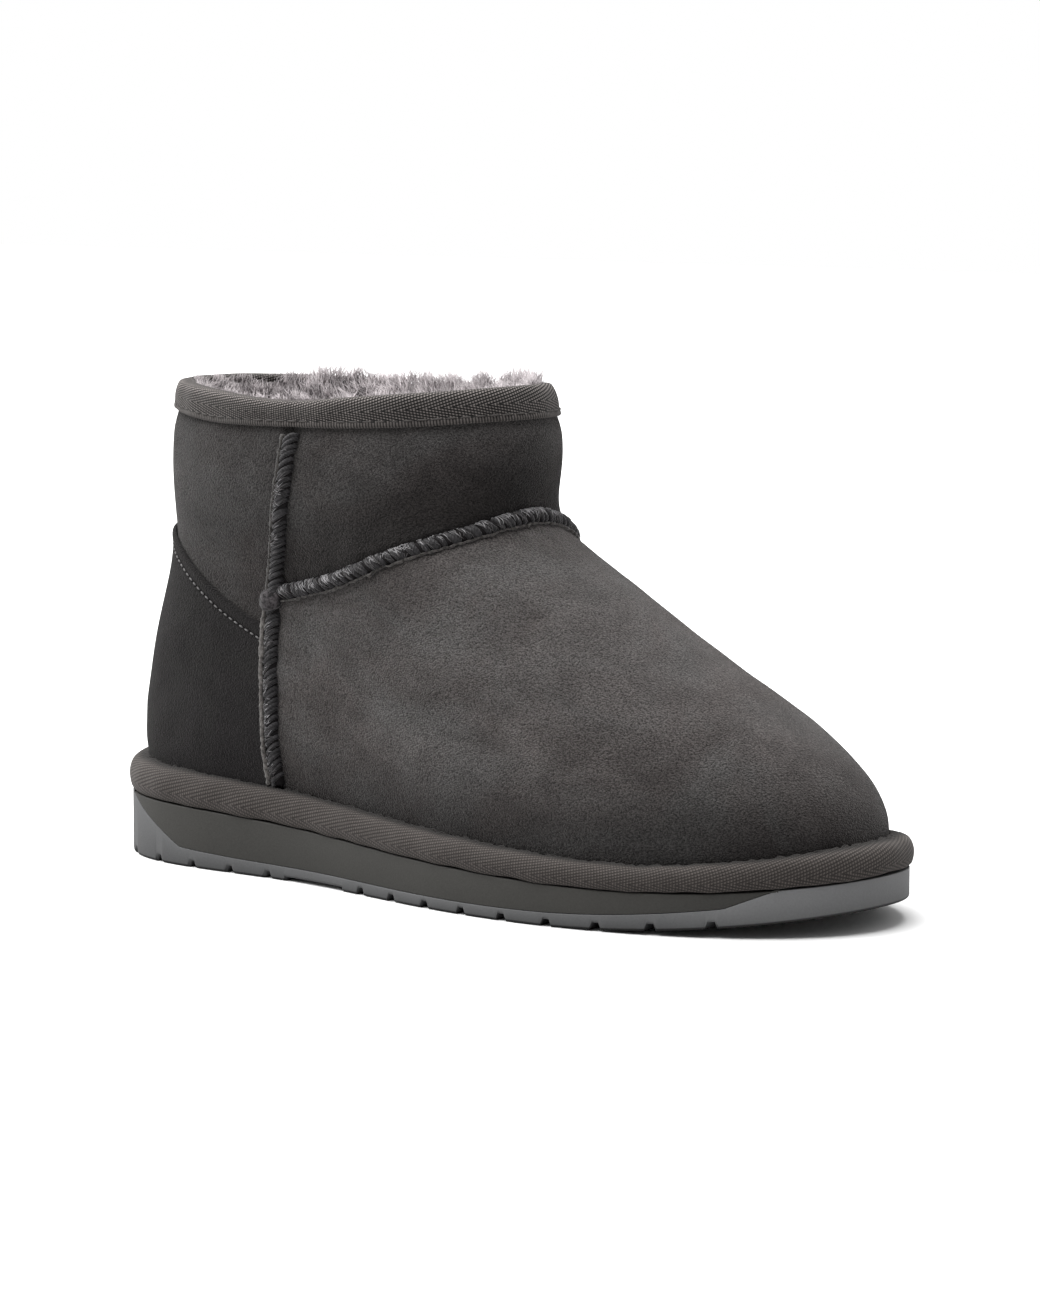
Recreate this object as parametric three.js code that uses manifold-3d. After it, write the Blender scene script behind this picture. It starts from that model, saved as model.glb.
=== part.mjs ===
// A short sheepskin boot for the right foot, in millimetres.
// +X points to the toe, +Y to the inner side of the foot (the wearer's left), +Z up.
// Every form is worked out in the last's own frame, whose origin is on the floor under the back of the heel;
// the whole boot is then moved so that its origin is the centre of its box on the floor.
import * as THREE from 'three';
import { mergeVertices } from 'three/addons/utils/BufferGeometryUtils.js';
import Module from 'manifold-3d';

const wasm = await Module();
wasm.setup();

// ---- Driving dimensions -------------------------------------------------------------------------------------

const GAP = 0.3;                 // between pieces that touch
const COLLAR_HEIGHT = 151;       // floor to the cut edge of the shaft
const WALL = 9;                  // skin with its fleece
const RIM_WALL = 3.4;            // skin with the fleece pressed flat under the collar's tape
const TAPE = 1.2;                // thickness of the herringbone tape
const COLLAR_TAPE_DROP = 10;     // how far the collar's tape reaches down the shaft
const COUNTER_LEATHER = 1.1;     // thickness of the heel counter
const COUNTER_END = 71.7;        // where the counter meets the side seams, along the boot
const INSOLE_HEIGHT = 7;         // sheepskin footbed
const SEAM_RADIUS = 3;           // whip-stitched roll
const SEAM_SUNK = 0.4;           // its centre line lies this far under the skin
const ROLL_OVERHANG = 1.2;       // how far the foxing roll stands out over the sole's edge

const SPRING_START = 185;        // the sole leaves the floor here
const TOE_SPRING = 7.5;          // and is this high at the toe's tip
const SOLE_FRONT = 275;
const SOLE_BEVEL = 1;            // around the lower edge of the outsole

const AROUND = 64;               // points in each outline

// Centre line of the last, seen from above.
const CENTRE_LINE = [
  { x: -20, y: 0 },
  { x: 0, y: 0 },
  { x: 110, y: -1.5 },
  { x: 180, y: 0 },
  { x: 234, y: 4 },
  { x: 275, y: 6 },
  { x: 295, y: 7 },
];

// Outline of the sole. heel, waist, ball and toe are its fullness to each side at 0, 1/3, 2/3 and 1 of its length,
// and bow is how far both its sides are carried outwards at the waist.
const SOLE = { back: -3, front: SOLE_FRONT, heel: 72.8, waist: 37.8, ball: 53, toe: 66.5, bow: 5 };
const BOW = { middle: 130, spread: 50 };

// Thickness of the whole sole along the boot.
const SOLE_THICKNESS = [
  { x: -20, height: 21 },
  { x: 0, height: 20.6 },
  { x: 60, height: 18.6 },
  { x: 95, height: 16.8 },
  { x: 130, height: 15 },
  { x: 190, height: 12.8 },
  { x: 275, height: 9.4 },
  { x: 295, height: 8.8 },
];

// How far the collar's edge rises above its mean height along the boot: up at the front, and dipping at the ankle.
const RIM_LIFT = [
  { x: -20, lift: 1.6 },
  { x: 17, lift: 0.9 },
  { x: 37, lift: 0.3 },
  { x: 65, lift: -0.9 },
  { x: 90, lift: -1.0 },
  { x: 110, lift: 0.1 },
  { x: 130, lift: 1.4 },
  { x: 143, lift: 2.5 },
  { x: 152, lift: 3.1 },
  { x: 300, lift: 3.1 },
];

// Underside of the dark midsole, above the underside of the sole. Past its ends it runs up to the footbed.
const MIDSOLE_FLOOR = [
  { x: 37, height: 6 },
  { x: 60, height: 4.9 },
  { x: 95, height: 4.3 },
  { x: 180, height: 4 },
  { x: 210, height: 4.7 },
  { x: 243, height: 5.7 },
];
const MIDSOLE_BACK = 9;
const MIDSOLE_FRONT = 257;

// Tread: grooves that run across the outsole, a raised arch and a nick at the tip of the toe.
const GROOVE = { width: 3, depth: 2 };
const HEEL_GROOVES = { first: 11.4, pitch: 15.6, count: 5 };
const FOREFOOT_GROOVES = { first: 115.3, pitch: 14, growth: 0.2, count: 9 };
const ARCH = { from: 81, to: 107, depth: 1.2 };
const TOE_NICK = { length: 8, width: 4, depth: 2 };

// Outer skin of the upper: level sections from the footbed (rise 0) to the collar's edge (rise 1).
const UPPER = [
  { rise: 0.00, back: 7.0, front: 266.9, heel: 61.0, waist: 31.5, ball: 46.0, toe: 64.0, bow: 5 },
  { rise: 0.07, back: 4.0, front: 268.0, heel: 61.8, waist: 33.3, ball: 47.2, toe: 65.0, bow: 4.7 },
  { rise: 0.16, back: 2.9, front: 263.9, heel: 64.0, waist: 36.5, ball: 48.8, toe: 65.5, bow: 3.6 },
  { rise: 0.27, back: 4.5, front: 250.7, heel: 61.0, waist: 37.8, ball: 46.3, toe: 60.4, bow: 1.9 },
  { rise: 0.38, back: 7.8, front: 227.4, heel: 59.2, waist: 38.4, ball: 44.2, toe: 56.3, bow: 0.7 },
  { rise: 0.49, back: 11.9, front: 202.0, heel: 55.2, waist: 38.3, ball: 42.2, toe: 51.1, bow: 0 },
  { rise: 0.60, back: 15.5, front: 177.8, heel: 51.5, waist: 39.2, ball: 41.1, toe: 47.0, bow: 0 },
  { rise: 0.68, back: 16.0, front: 159.4, heel: 49.7, waist: 40.8, ball: 40.9, toe: 43.9, bow: 0 },
  { rise: 0.74, back: 15.6, front: 153.0, heel: 49.2, waist: 42.4, ball: 41.8, toe: 44.2, bow: 0 },
  { rise: 0.85, back: 14.2, front: 154.2, heel: 46.2, waist: 42.9, ball: 41.9, toe: 43.2, bow: 0 },
  { rise: 1.00, back: 16.8, front: 150.2, heel: 43.2, waist: 41.2, ball: 40.2, toe: 41.2, bow: 0 },
];

// Upper edge of the heel counter, from the back of the heel down to the side seams.
const COUNTER_EDGE = [
  { x: 12, z: 107.5 },
  { x: 20, z: 106.5 },
  { x: 30, z: 102.3 },
  { x: 42, z: 94.8 },
  { x: 56, z: 86.6 },
  { x: 73, z: 79 },
];

// The side seam, from the foxing roll up to the collar's tape.
const SIDE_SEAM = [
  { z: 27, x: 76 },
  { z: 48, x: 75.2 },
  { z: 68, x: 75.2 },
  { z: 90, x: 77.4 },
  { z: 104, x: 80.8 },
  { z: 118, x: 84.3 },
  { z: 130, x: 86.7 },
  { z: 143, x: 88.6 },
];

// The instep seam: how high it lies on the skin, by the angle around the outline.
const INSTEP_SEAM = [
  { degrees: 72, rise: 0.535 },
  { degrees: 92, rise: 0.584 },
  { degrees: 110, rise: 0.637 },
  { degrees: 132, rise: 0.685 },
  { degrees: 155, rise: 0.723 },
  { degrees: 177, rise: 0.741 },
  { degrees: 194, rise: 0.722 },
  { degrees: 225, rise: 0.655 },
  { degrees: 255, rise: 0.592 },
  { degrees: 288, rise: 0.535 },
];

// Height of the foxing roll along the boot.
const ROLL_HEIGHT = [
  { x: -20, height: 11 },
  { x: 0, height: 11 },
  { x: 60, height: 10.6 },
  { x: 130, height: 9.4 },
  { x: 190, height: 7.8 },
  { x: 240, height: 7.8 },
  { x: 275, height: 9.2 },
  { x: 295, height: 9.4 },
];

// Section of the foxing roll: out is 0 at the skin and 1 at its fullest, up is 0 on the sole and 1 at its top.
const ROLL_SECTION = [
  { out: 0, up: 0 },
  { out: 0.84, up: 0 },
  { out: 0.96, up: 0.16 },
  { out: 1, up: 0.42 },
  { out: 0.95, up: 0.68 },
  { out: 0.8, up: 0.88 },
  { out: 0.55, up: 0.98 },
  { out: 0, up: 1 },
  { out: 0, up: 0.5 },
];

// ---- Curves -------------------------------------------------------------------------------------------------

// A natural cubic spline through a table's rows, straight on past both ends.
function spline(table, from, to) {
  const xs = table.map((row) => row[from]);
  const ys = table.map((row) => row[to]);
  const last = xs.length - 1;
  const bend = new Array(last + 1).fill(0);
  const carry = new Array(last + 1).fill(0);
  for (let i = 1; i < last; i++) {
    const before = xs[i] - xs[i - 1];
    const after = xs[i + 1] - xs[i];
    const pull = 6 * ((ys[i + 1] - ys[i]) / after - (ys[i] - ys[i - 1]) / before);
    const weight = 2 * (before + after) - before * carry[i - 1];
    carry[i] = after / weight;
    bend[i] = (pull - before * bend[i - 1]) / weight;
  }
  for (let i = last - 1; i > 0; i--) {
    bend[i] -= carry[i] * bend[i + 1];
  }
  const slope = (i, near, far) => (ys[i + 1] - ys[i]) / (xs[i + 1] - xs[i])
    + (xs[i + 1] - xs[i]) / 6 * (near * bend[i] + far * bend[i + 1]);
  return (x) => {
    if (x <= xs[0]) {
      return ys[0] + (x - xs[0]) * slope(0, -2, -1);
    }
    if (x >= xs[last]) {
      return ys[last] + (x - xs[last]) * slope(last - 1, 1, 2);
    }
    const i = xs.findIndex((edge) => edge >= x) - 1;
    const span = xs[i + 1] - xs[i];
    const b = (x - xs[i]) / span;
    const a = 1 - b;
    return a * ys[i] + b * ys[i + 1]
      + ((a ** 3 - a) * bend[i] + (b ** 3 - b) * bend[i + 1]) * span * span / 6;
  };
}

const centreLine = spline(CENTRE_LINE, 'x', 'y');
const soleThickness = spline(SOLE_THICKNESS, 'x', 'height');
const rollHeight = spline(ROLL_HEIGHT, 'x', 'height');
const midsoleFloor = spline(MIDSOLE_FLOOR, 'x', 'height');

function underside(x) {
  const past = Math.max(0, (x - SPRING_START) / (SOLE_FRONT - SPRING_START));
  return TOE_SPRING * past * past;
}

function footbed(x) {
  return underside(x) + soleThickness(x);
}

// A point of a level outline. angle 0 is the heel's back, a quarter turn the outer side and a half turn the toe.
function outline(row, angle, inset = 0) {
  const along = (1 - Math.cos(angle)) / 2;
  const x = row.back + inset + (row.front - row.back - 2 * inset) * along;
  const fullness = spline(
    [
      { at: 0, half: row.heel },
      { at: 0.33, half: row.waist },
      { at: 0.67, half: row.ball },
      { at: 1, half: row.toe },
    ],
    'at',
    'half',
  );
  const bow = row.bow * Math.exp(-(((x - BOW.middle) / BOW.spread) ** 2));
  const y = centreLine(x) - bow - (fullness(along) - inset) * Math.sin(angle);
  return [x, y];
}

// ---- The upper's own surface --------------------------------------------------------------------------------

const upperColumn = {};
for (const name of ['back', 'front', 'heel', 'waist', 'ball', 'toe', 'bow']) {
  upperColumn[name] = spline(UPPER, 'rise', name);
}

function upperRow(rise) {
  const row = {};
  for (const name in upperColumn) {
    row[name] = upperColumn[name](rise);
  }
  return row;
}

// Height of the skin at a given rise, with the lift of the collar's edge worked in over the top of the shaft.
const rimLift = spline(RIM_LIFT, 'x', 'lift');
function levelAt(x, rise) {
  return THREE.MathUtils.lerp(footbed(x), COLLAR_HEIGHT, rise)
    + rimLift(x) * THREE.MathUtils.smoothstep(rise, 0.76, 0.92);
}

function skin(rise, angle) {
  const [x, y] = outline(upperRow(rise), angle);
  return new THREE.Vector3(x, y, levelAt(x, rise));
}

// Outward normal of the skin, from points a little to each side.
function skinNormal(rise, angle) {
  const up = skin(rise + 0.01, angle).sub(skin(rise - 0.01, angle));
  const along = skin(rise, angle + 0.02).sub(skin(rise, angle - 0.02));
  return along.cross(up).normalize();
}

// The skin moved along its normal: proud is positive outside and negative inside.
function form(rise, angle, proud) {
  return skin(rise, angle).addScaledVector(skinNormal(rise, angle), proud);
}

// Where the skin has a given height z at a given place x along the boot.
function skinAt(x, z) {
  const rise = (z - footbed(x)) / (COLLAR_HEIGHT - footbed(x));
  const row = upperRow(rise);
  const along = (x - row.back) / (row.front - row.back);
  return { rise, angle: Math.acos(1 - 2 * along) };
}

// ---- Closed bodies from loops of points ---------------------------------------------------------------------

const ANGLES = Array.from({ length: AROUND }, (_, i) => 2 * Math.PI * i / AROUND);

function loop(point) {
  return ANGLES.map(point);
}

function mesh(points, faces) {
  const geometry = new THREE.BufferGeometry();
  const flat = points.flatMap((point) => point.toArray());
  geometry.setAttribute('position', new THREE.Float32BufferAttribute(flat, 3));
  geometry.setIndex(faces.flat());
  return geometry;
}

// Quads between one loop and the next.
function band(faces, low, high) {
  for (let i = 0; i < AROUND; i++) {
    const j = (i + 1) % AROUND;
    faces.push([low + i, low + j, high + j], [low + i, high + j, high + i]);
  }
}

// A ring: the loops follow one another around its section and close on themselves.
function ring(loops) {
  const faces = [];
  loops.forEach((_, i) => band(faces, i * AROUND, ((i + 1) % loops.length) * AROUND));
  return mesh(loops.flat(), faces);
}

// A block: loops from the bottom up, closed below and above by strips from side to side.
function block(loops) {
  const faces = [];
  for (let i = 0; i + 1 < loops.length; i++) {
    band(faces, i * AROUND, (i + 1) * AROUND);
  }
  const top = (loops.length - 1) * AROUND;
  for (let i = 0; i < AROUND / 2; i++) {
    const near = [i, i + 1];
    const far = [(AROUND - i) % AROUND, AROUND - i - 1];
    if (i > 0) {
      faces.push([near[0], far[0], near[1]], [top + near[0], top + near[1], top + far[0]]);
    }
    if (i < AROUND / 2 - 1) {
      faces.push([near[1], far[0], far[1]], [top + near[1], top + far[1], top + far[0]]);
    }
  }
  return mesh(loops.flat(), faces);
}

// ---- Solids -------------------------------------------------------------------------------------------------

function solid(geometry) {
  const bare = geometry.clone();
  bare.deleteAttribute('normal');
  bare.deleteAttribute('uv');
  const merged = mergeVertices(bare, 1e-5);
  return new wasm.Manifold(new wasm.Mesh({
    numProp: 3,
    vertProperties: new Float32Array(merged.attributes.position.array),
    triVerts: new Uint32Array(merged.index.array),
  }));
}

function fromSolid(body) {
  const cut = body.getMesh();
  const geometry = new THREE.BufferGeometry();
  geometry.setAttribute('position', new THREE.BufferAttribute(cut.vertProperties, 3));
  geometry.setIndex(new THREE.BufferAttribute(cut.triVerts, 1));
  return geometry;
}

function bar(low, high) {
  const size = high.map((value, i) => value - low[i]);
  const geometry = new THREE.BoxGeometry(...size);
  geometry.translate(...low.map((value, i) => value + size[i] / 2));
  return solid(geometry);
}

// A side view in x and z, carried straight across the boot.
const ACROSS = 160;
function sideView(points) {
  const shape = new THREE.Shape(points.map(([x, z]) => new THREE.Vector2(x, z)));
  const geometry = new THREE.ExtrudeGeometry(shape, { depth: ACROSS, bevelEnabled: false });
  geometry.rotateX(Math.PI / 2);
  geometry.translate(0, ACROSS / 2, 0);
  return solid(geometry);
}

function range(from, to, steps) {
  return Array.from({ length: steps + 1 }, (_, i) => from + (to - from) * i / steps);
}

// ---- Sole ---------------------------------------------------------------------------------------------------

function soleLoop(share, inset) {
  return loop((angle) => {
    const [x, y] = outline(SOLE, angle, inset);
    return new THREE.Vector3(x, y, underside(x) + share * soleThickness(x) - (share === 1 ? GAP : 0));
  });
}

function wholeSole() {
  return solid(block([soleLoop(0, SOLE_BEVEL), soleLoop(0.08, 0), soleLoop(1, 0)]));
}

// Side view of the dark wedge, lowered by drop. It is closed far above the footbed.
function midsoleWedge(drop) {
  const floor = range(MIDSOLE_FLOOR[0].x, MIDSOLE_FLOOR.at(-1).x, 16)
    .map((x) => [x, underside(x) + midsoleFloor(x) - drop]);
  const steepen = ([x, z], end) => {
    const top = footbed(end) - drop;
    const reach = 2;
    return [x + (end - x) * reach, z + (top - z) * reach];
  };
  return sideView([steepen(floor[0], MIDSOLE_BACK), ...floor, steepen(floor.at(-1), MIDSOLE_FRONT)]);
}

function grooves() {
  const places = [];
  for (let i = 0; i < HEEL_GROOVES.count; i++) {
    places.push(HEEL_GROOVES.first + HEEL_GROOVES.pitch * i);
  }
  for (let i = 0; i < FOREFOOT_GROOVES.count; i++) {
    places.push(FOREFOOT_GROOVES.first + (FOREFOOT_GROOVES.pitch + FOREFOOT_GROOVES.growth * i) * i);
  }
  const half = GROOVE.width / 2;
  return places.map((x) => bar([x - half, -ACROSS / 2, -5], [x + half, ACROSS / 2, underside(x) + GROOVE.depth]));
}

function outsole() {
  let body = wholeSole().subtract(midsoleWedge(GAP));
  for (const groove of grooves()) {
    body = body.subtract(groove);
  }
  body = body.subtract(bar([ARCH.from, -ACROSS / 2, -5], [ARCH.to, ACROSS / 2, ARCH.depth]));
  const y = centreLine(SOLE_FRONT);
  const tip = underside(SOLE_FRONT - TOE_NICK.length) + TOE_NICK.depth;
  body = body.subtract(bar(
    [SOLE_FRONT - TOE_NICK.length, y - TOE_NICK.width / 2, -5],
    [SOLE_FRONT + 5, y + TOE_NICK.width / 2, tip],
  ));
  return fromSolid(body);
}

function midsole() {
  return fromSolid(wholeSole().intersect(midsoleWedge(0)));
}

function insole() {
  const level = (rise, extra) => loop((angle) => {
    const point = form(rise, angle, -(WALL + GAP + extra));
    point.z = footbed(point.x) + GAP + rise * (COLLAR_HEIGHT - footbed(point.x));
    return point;
  });
  const top = INSOLE_HEIGHT / (COLLAR_HEIGHT - footbed(SOLE_FRONT / 2));
  return block([level(0, 0.6), level(top * 0.6, 0.8), level(top, 2.2)]);
}

// ---- Upper --------------------------------------------------------------------------------------------------

const OUTER_LEVELS = [...range(0, 0.14, 3), ...range(0.2, 0.65, 7), ...range(0.69, 0.81, 3), 0.87, 0.93, 1];
const INNER_LEVELS = [...range(0, 0.1, 2), ...range(0.18, 0.8, 6), 0.84, 0.88, 0.93, 1];

const RIM_RISE = 0.93;
function wallAt(rise) {
  const pressed = THREE.MathUtils.smoothstep(rise, 0.84, RIM_RISE);
  return THREE.MathUtils.lerp(WALL, RIM_WALL, pressed);
}

function upper() {
  const surface = (rise, depth) => loop((angle) => {
    const point = form(rise, angle, -depth);
    const level = levelAt(point.x, rise);
    const trued = rise < RIM_RISE ? Math.max(0, 1 - rise / 0.06) : 1;
    point.z = THREE.MathUtils.lerp(point.z, level, trued);
    return point;
  });
  const outside = OUTER_LEVELS.map((rise) => surface(rise, 0));
  const inside = INNER_LEVELS.map((rise) => surface(rise, wallAt(rise))).reverse();
  return ring([...outside, ...inside]);
}

// A closed form of the upper, standing proud of the skin, to cut overlays with.
const FORM_LEVELS = [-0.04, ...OUTER_LEVELS, 1.04];
function closedForm(proud) {
  return solid(block(FORM_LEVELS.map((rise) => loop((angle) => form(rise, angle, proud)))));
}

function heelCounter() {
  const shell = closedForm(GAP + COUNTER_LEATHER).subtract(closedForm(GAP));
  const edge = spline(COUNTER_EDGE, 'x', 'z');
  const rollTop = (x) => footbed(x) + rollHeight(x) + 2 * GAP;
  const outer = -30;
  const places = range(COUNTER_EDGE[0].x, COUNTER_END, 12);
  const above = places.map((x) => [x, edge(x)]);
  const below = [outer, ...places].map((x) => [x, rollTop(x)]).reverse();
  return fromSolid(shell.intersect(sideView([[outer, COUNTER_EDGE[0].z], ...above, ...below])));
}

// ---- Rolls and tapes ----------------------------------------------------------------------------------------

function foxingRoll() {
  const edge = { ...SOLE, back: SOLE.back - ROLL_OVERHANG, front: SOLE.front + ROLL_OVERHANG };
  for (const name of ['heel', 'waist', 'ball', 'toe']) {
    edge[name] += ROLL_OVERHANG;
  }
  return ring(ROLL_SECTION.map(({ out, up }) => loop((angle) => {
    const fullest = outline(edge, angle);
    const height = rollHeight(fullest[0]) * up;
    const rise = height / (COLLAR_HEIGHT - footbed(fullest[0]));
    const inner = form(rise, angle, GAP);
    const x = THREE.MathUtils.lerp(inner.x, fullest[0], out);
    const y = THREE.MathUtils.lerp(inner.y, fullest[1], out);
    return new THREE.Vector3(x, y, footbed(x) + height);
  })));
}

// Tape folded over the collar. Each row of its section is how far outside the skin and above the edge it lies.
function collarTape() {
  const outer = GAP + TAPE;
  const inner = -RIM_WALL - GAP;
  const section = [
    { proud: GAP, up: -COLLAR_TAPE_DROP },
    { proud: outer, up: -COLLAR_TAPE_DROP },
    { proud: outer, up: -COLLAR_TAPE_DROP / 2 },
    { proud: outer, up: 0 },
    { proud: GAP, up: GAP + TAPE },
    { proud: inner, up: GAP + TAPE },
    { proud: inner - TAPE, up: 0 },
    { proud: inner - TAPE, up: -COLLAR_TAPE_DROP * 0.6 },
    { proud: inner, up: -COLLAR_TAPE_DROP * 0.6 },
    { proud: inner, up: GAP },
    { proud: GAP, up: GAP },
    { proud: GAP, up: -COLLAR_TAPE_DROP / 2 },
  ];
  return ring(section.map(({ proud, up }) => loop((angle) => {
    const rise = 1 + Math.min(up, 0) / (COLLAR_HEIGHT - SOLE_THICKNESS[1].height);
    const point = form(rise, angle, proud);
    point.z = COLLAR_HEIGHT + rimLift(point.x) + up;
    return point;
  })));
}

function seamTube(points, radius) {
  const path = new THREE.CatmullRomCurve3(points);
  const round = new THREE.Shape(range(0, 2 * Math.PI, 10).slice(1)
    .map((turn) => new THREE.Vector2(radius * Math.cos(turn), radius * Math.sin(turn))));
  const steps = 2 * points.length;
  return solid(new THREE.ExtrudeGeometry(round, { steps, extrudePath: path, bevelEnabled: false }));
}

// side is 1 for the outer side of the foot and -1 for the inner side.
function sideSeamPath(side) {
  return SIDE_SEAM.map(({ x, z }) => {
    const { rise, angle } = skinAt(x, z);
    return form(rise, side * angle, -SEAM_SUNK);
  });
}

function sideSeam(side) {
  const start = SIDE_SEAM[0].x;
  const between = bar(
    [0, -ACROSS / 2, footbed(start) + rollHeight(start) + 2 * GAP],
    [SOLE_FRONT, ACROSS / 2, COLLAR_HEIGHT + rimLift(SIDE_SEAM.at(-1).x) - COLLAR_TAPE_DROP - GAP],
  );
  return fromSolid(seamTube(sideSeamPath(side), SEAM_RADIUS).subtract(closedForm(GAP)).intersect(between));
}

function instepSeam() {
  const riseAt = spline(INSTEP_SEAM, 'degrees', 'rise');
  const path = range(INSTEP_SEAM[0].degrees, INSTEP_SEAM.at(-1).degrees, 16)
    .map((degrees) => form(riseAt(degrees), THREE.MathUtils.degToRad(degrees), -SEAM_SUNK));
  let body = seamTube(path, SEAM_RADIUS).subtract(closedForm(GAP));
  for (const side of [1, -1]) {
    body = body.subtract(seamTube(sideSeamPath(side), SEAM_RADIUS + GAP));
  }
  const pieces = body.decompose().sort((a, b) => b.volume() - a.volume());
  return fromSolid(pieces[0]);
}

// ---- The boot -----------------------------------------------------------------------------------------------

const suede = new THREE.MeshStandardMaterial({ color: 0x4b4745, roughness: 0.95, metalness: 0 });
const darkSuede = new THREE.MeshStandardMaterial({ color: 0x38373a, roughness: 0.95, metalness: 0 });
const tape = new THREE.MeshStandardMaterial({ color: 0x5a524d, roughness: 0.85, metalness: 0 });
const thread = new THREE.MeshStandardMaterial({ color: 0x77716d, roughness: 0.8, metalness: 0 });
const lightFoam = new THREE.MeshStandardMaterial({ color: 0x85898c, roughness: 0.7, metalness: 0 });
const darkFoam = new THREE.MeshStandardMaterial({ color: 0x56554f, roughness: 0.75, metalness: 0 });
const fleece = new THREE.MeshStandardMaterial({ color: 0xb3aba7, roughness: 1, metalness: 0 });

const PIECES = [
  { name: 'outsole', make: outsole, material: lightFoam },
  { name: 'midsole', make: midsole, material: darkFoam },
  { name: 'insole', make: insole, material: fleece },
  { name: 'upper', make: upper, material: suede },
  { name: 'heel_counter', make: heelCounter, material: darkSuede },
  { name: 'welt_binding', make: foxingRoll, material: tape },
  { name: 'collar_binding', make: collarTape, material: tape },
  { name: 'side_seam_lateral', make: () => sideSeam(1), material: thread },
  { name: 'side_seam_medial', make: () => sideSeam(-1), material: thread },
  { name: 'instep_seam', make: instepSeam, material: thread },
];

const boot = new THREE.Group();
for (const { name, make, material } of PIECES) {
  const piece = new THREE.Mesh(make(), material);
  piece.name = name;
  boot.add(piece);
}

const box = new THREE.Box3().setFromObject(boot);
const middle = box.getCenter(new THREE.Vector3());
boot.position.set(-middle.x, -middle.y, -box.min.z);

export default boot;
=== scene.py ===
# %% [markdown]
# # A short sheepskin boot
#
# A boot of this kind is sheepskin with the suede side out and the fleece inside: a vamp over the toes, a
# shaft in two halves, a counter around the heel, and a foam sole under a fat rolled tape. The seams are
# whip-stitched ridges on the outside. This lesson makes each of those pieces as a surface worked out with
# numpy, around the plain solids of the frame, which say how large every piece is and where it goes.

# %% The frame
import math
import bpy
import numpy as np
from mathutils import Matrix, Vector


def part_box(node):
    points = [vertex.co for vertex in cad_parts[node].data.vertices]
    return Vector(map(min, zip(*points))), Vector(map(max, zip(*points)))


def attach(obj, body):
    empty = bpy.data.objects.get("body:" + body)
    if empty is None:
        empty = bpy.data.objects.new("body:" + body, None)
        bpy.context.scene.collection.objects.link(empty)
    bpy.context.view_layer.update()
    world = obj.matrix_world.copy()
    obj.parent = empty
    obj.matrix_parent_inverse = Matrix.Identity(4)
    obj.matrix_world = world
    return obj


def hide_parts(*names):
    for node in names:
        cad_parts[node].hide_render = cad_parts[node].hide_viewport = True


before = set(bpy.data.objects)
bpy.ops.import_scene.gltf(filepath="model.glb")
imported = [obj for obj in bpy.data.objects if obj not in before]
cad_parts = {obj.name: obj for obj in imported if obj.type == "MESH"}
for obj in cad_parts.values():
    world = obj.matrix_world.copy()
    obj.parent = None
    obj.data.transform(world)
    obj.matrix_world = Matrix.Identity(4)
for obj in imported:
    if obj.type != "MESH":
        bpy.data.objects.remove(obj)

bpy.context.view_layer.update()
MM = 0.001

# %% [markdown]
# ## The last
#
# A boot is built around a last, a block with the shape of the foot. Its shape could be modelled by hand
# in edit mode, but a short table of level sections gives the same form and can be read, checked and
# changed. Each row is one section, with its back, its front, and its fullness at the heel, waist, ball
# and toe. Smooth curves through the rows give the form between them. Lengths are in millimetres, from the
# floor under the back of the heel.

# %% Tables and smooth curves
def table(columns, *rows):
    """A small table whose columns have names."""
    return np.array(list(rows), dtype=[(column, float) for column in columns.split()])


def natural_spline(knots, values):
    """A curve through the values at the knots: a cubic on each stretch, with no bend at the ends,
    straight on past them. The bends at the inner knots come from one set of linear equations."""
    x, y = np.asarray(knots, float), np.asarray(values, float)
    span = np.diff(x)
    slope = np.diff(y) / span
    bend = np.zeros_like(y)
    shared = span[1:-1]
    equations = np.diag(2 * (span[:-1] + span[1:])) + np.diag(shared, 1) + np.diag(shared, -1)
    bend[1:-1] = np.linalg.solve(equations, 6 * np.diff(slope))
    first = slope[0] - span[0] / 6 * (2 * bend[0] + bend[1])
    last = slope[-1] + span[-1] / 6 * (bend[-2] + 2 * bend[-1])

    def at(place):
        place = np.asarray(place, float)
        inside = np.clip(place, x[0], x[-1])
        i = np.clip(np.searchsorted(x, inside) - 1, 0, len(span) - 1)
        b = (inside - x[i]) / span[i]
        a = 1 - b
        cubic = ((a ** 3 - a) * bend[i] + (b ** 3 - b) * bend[i + 1]) * span[i] ** 2 / 6
        return a * y[i] + b * y[i + 1] + cubic + (place - inside) * np.where(place < x[0], first, last)

    return at


def curve(rows, across, value):
    """The smooth curve of one column of a table against another."""
    return natural_spline(rows[across], rows[value])


def smooth(value, start, end):
    """0 before start, 1 after end, and 3t^2 - 2t^3 between them."""
    t = np.clip((value - start) / (end - start), 0, 1)
    return t * t * (3 - 2 * t)


def unit(vectors):
    """The same directions with a length of 1."""
    return vectors / np.linalg.norm(vectors, axis=-1, keepdims=True)


# %% Tables of the last
GAP = 0.3                     # left between pieces that meet
COLLAR_HEIGHT = 151           # where rise is 1
WALL = 9                      # hide and fleece together
SPRING_START = 185            # the sole leaves the floor here
TOE_SPRING = 7.5              # and is this high at its front
SOLE_FRONT = 275

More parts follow.
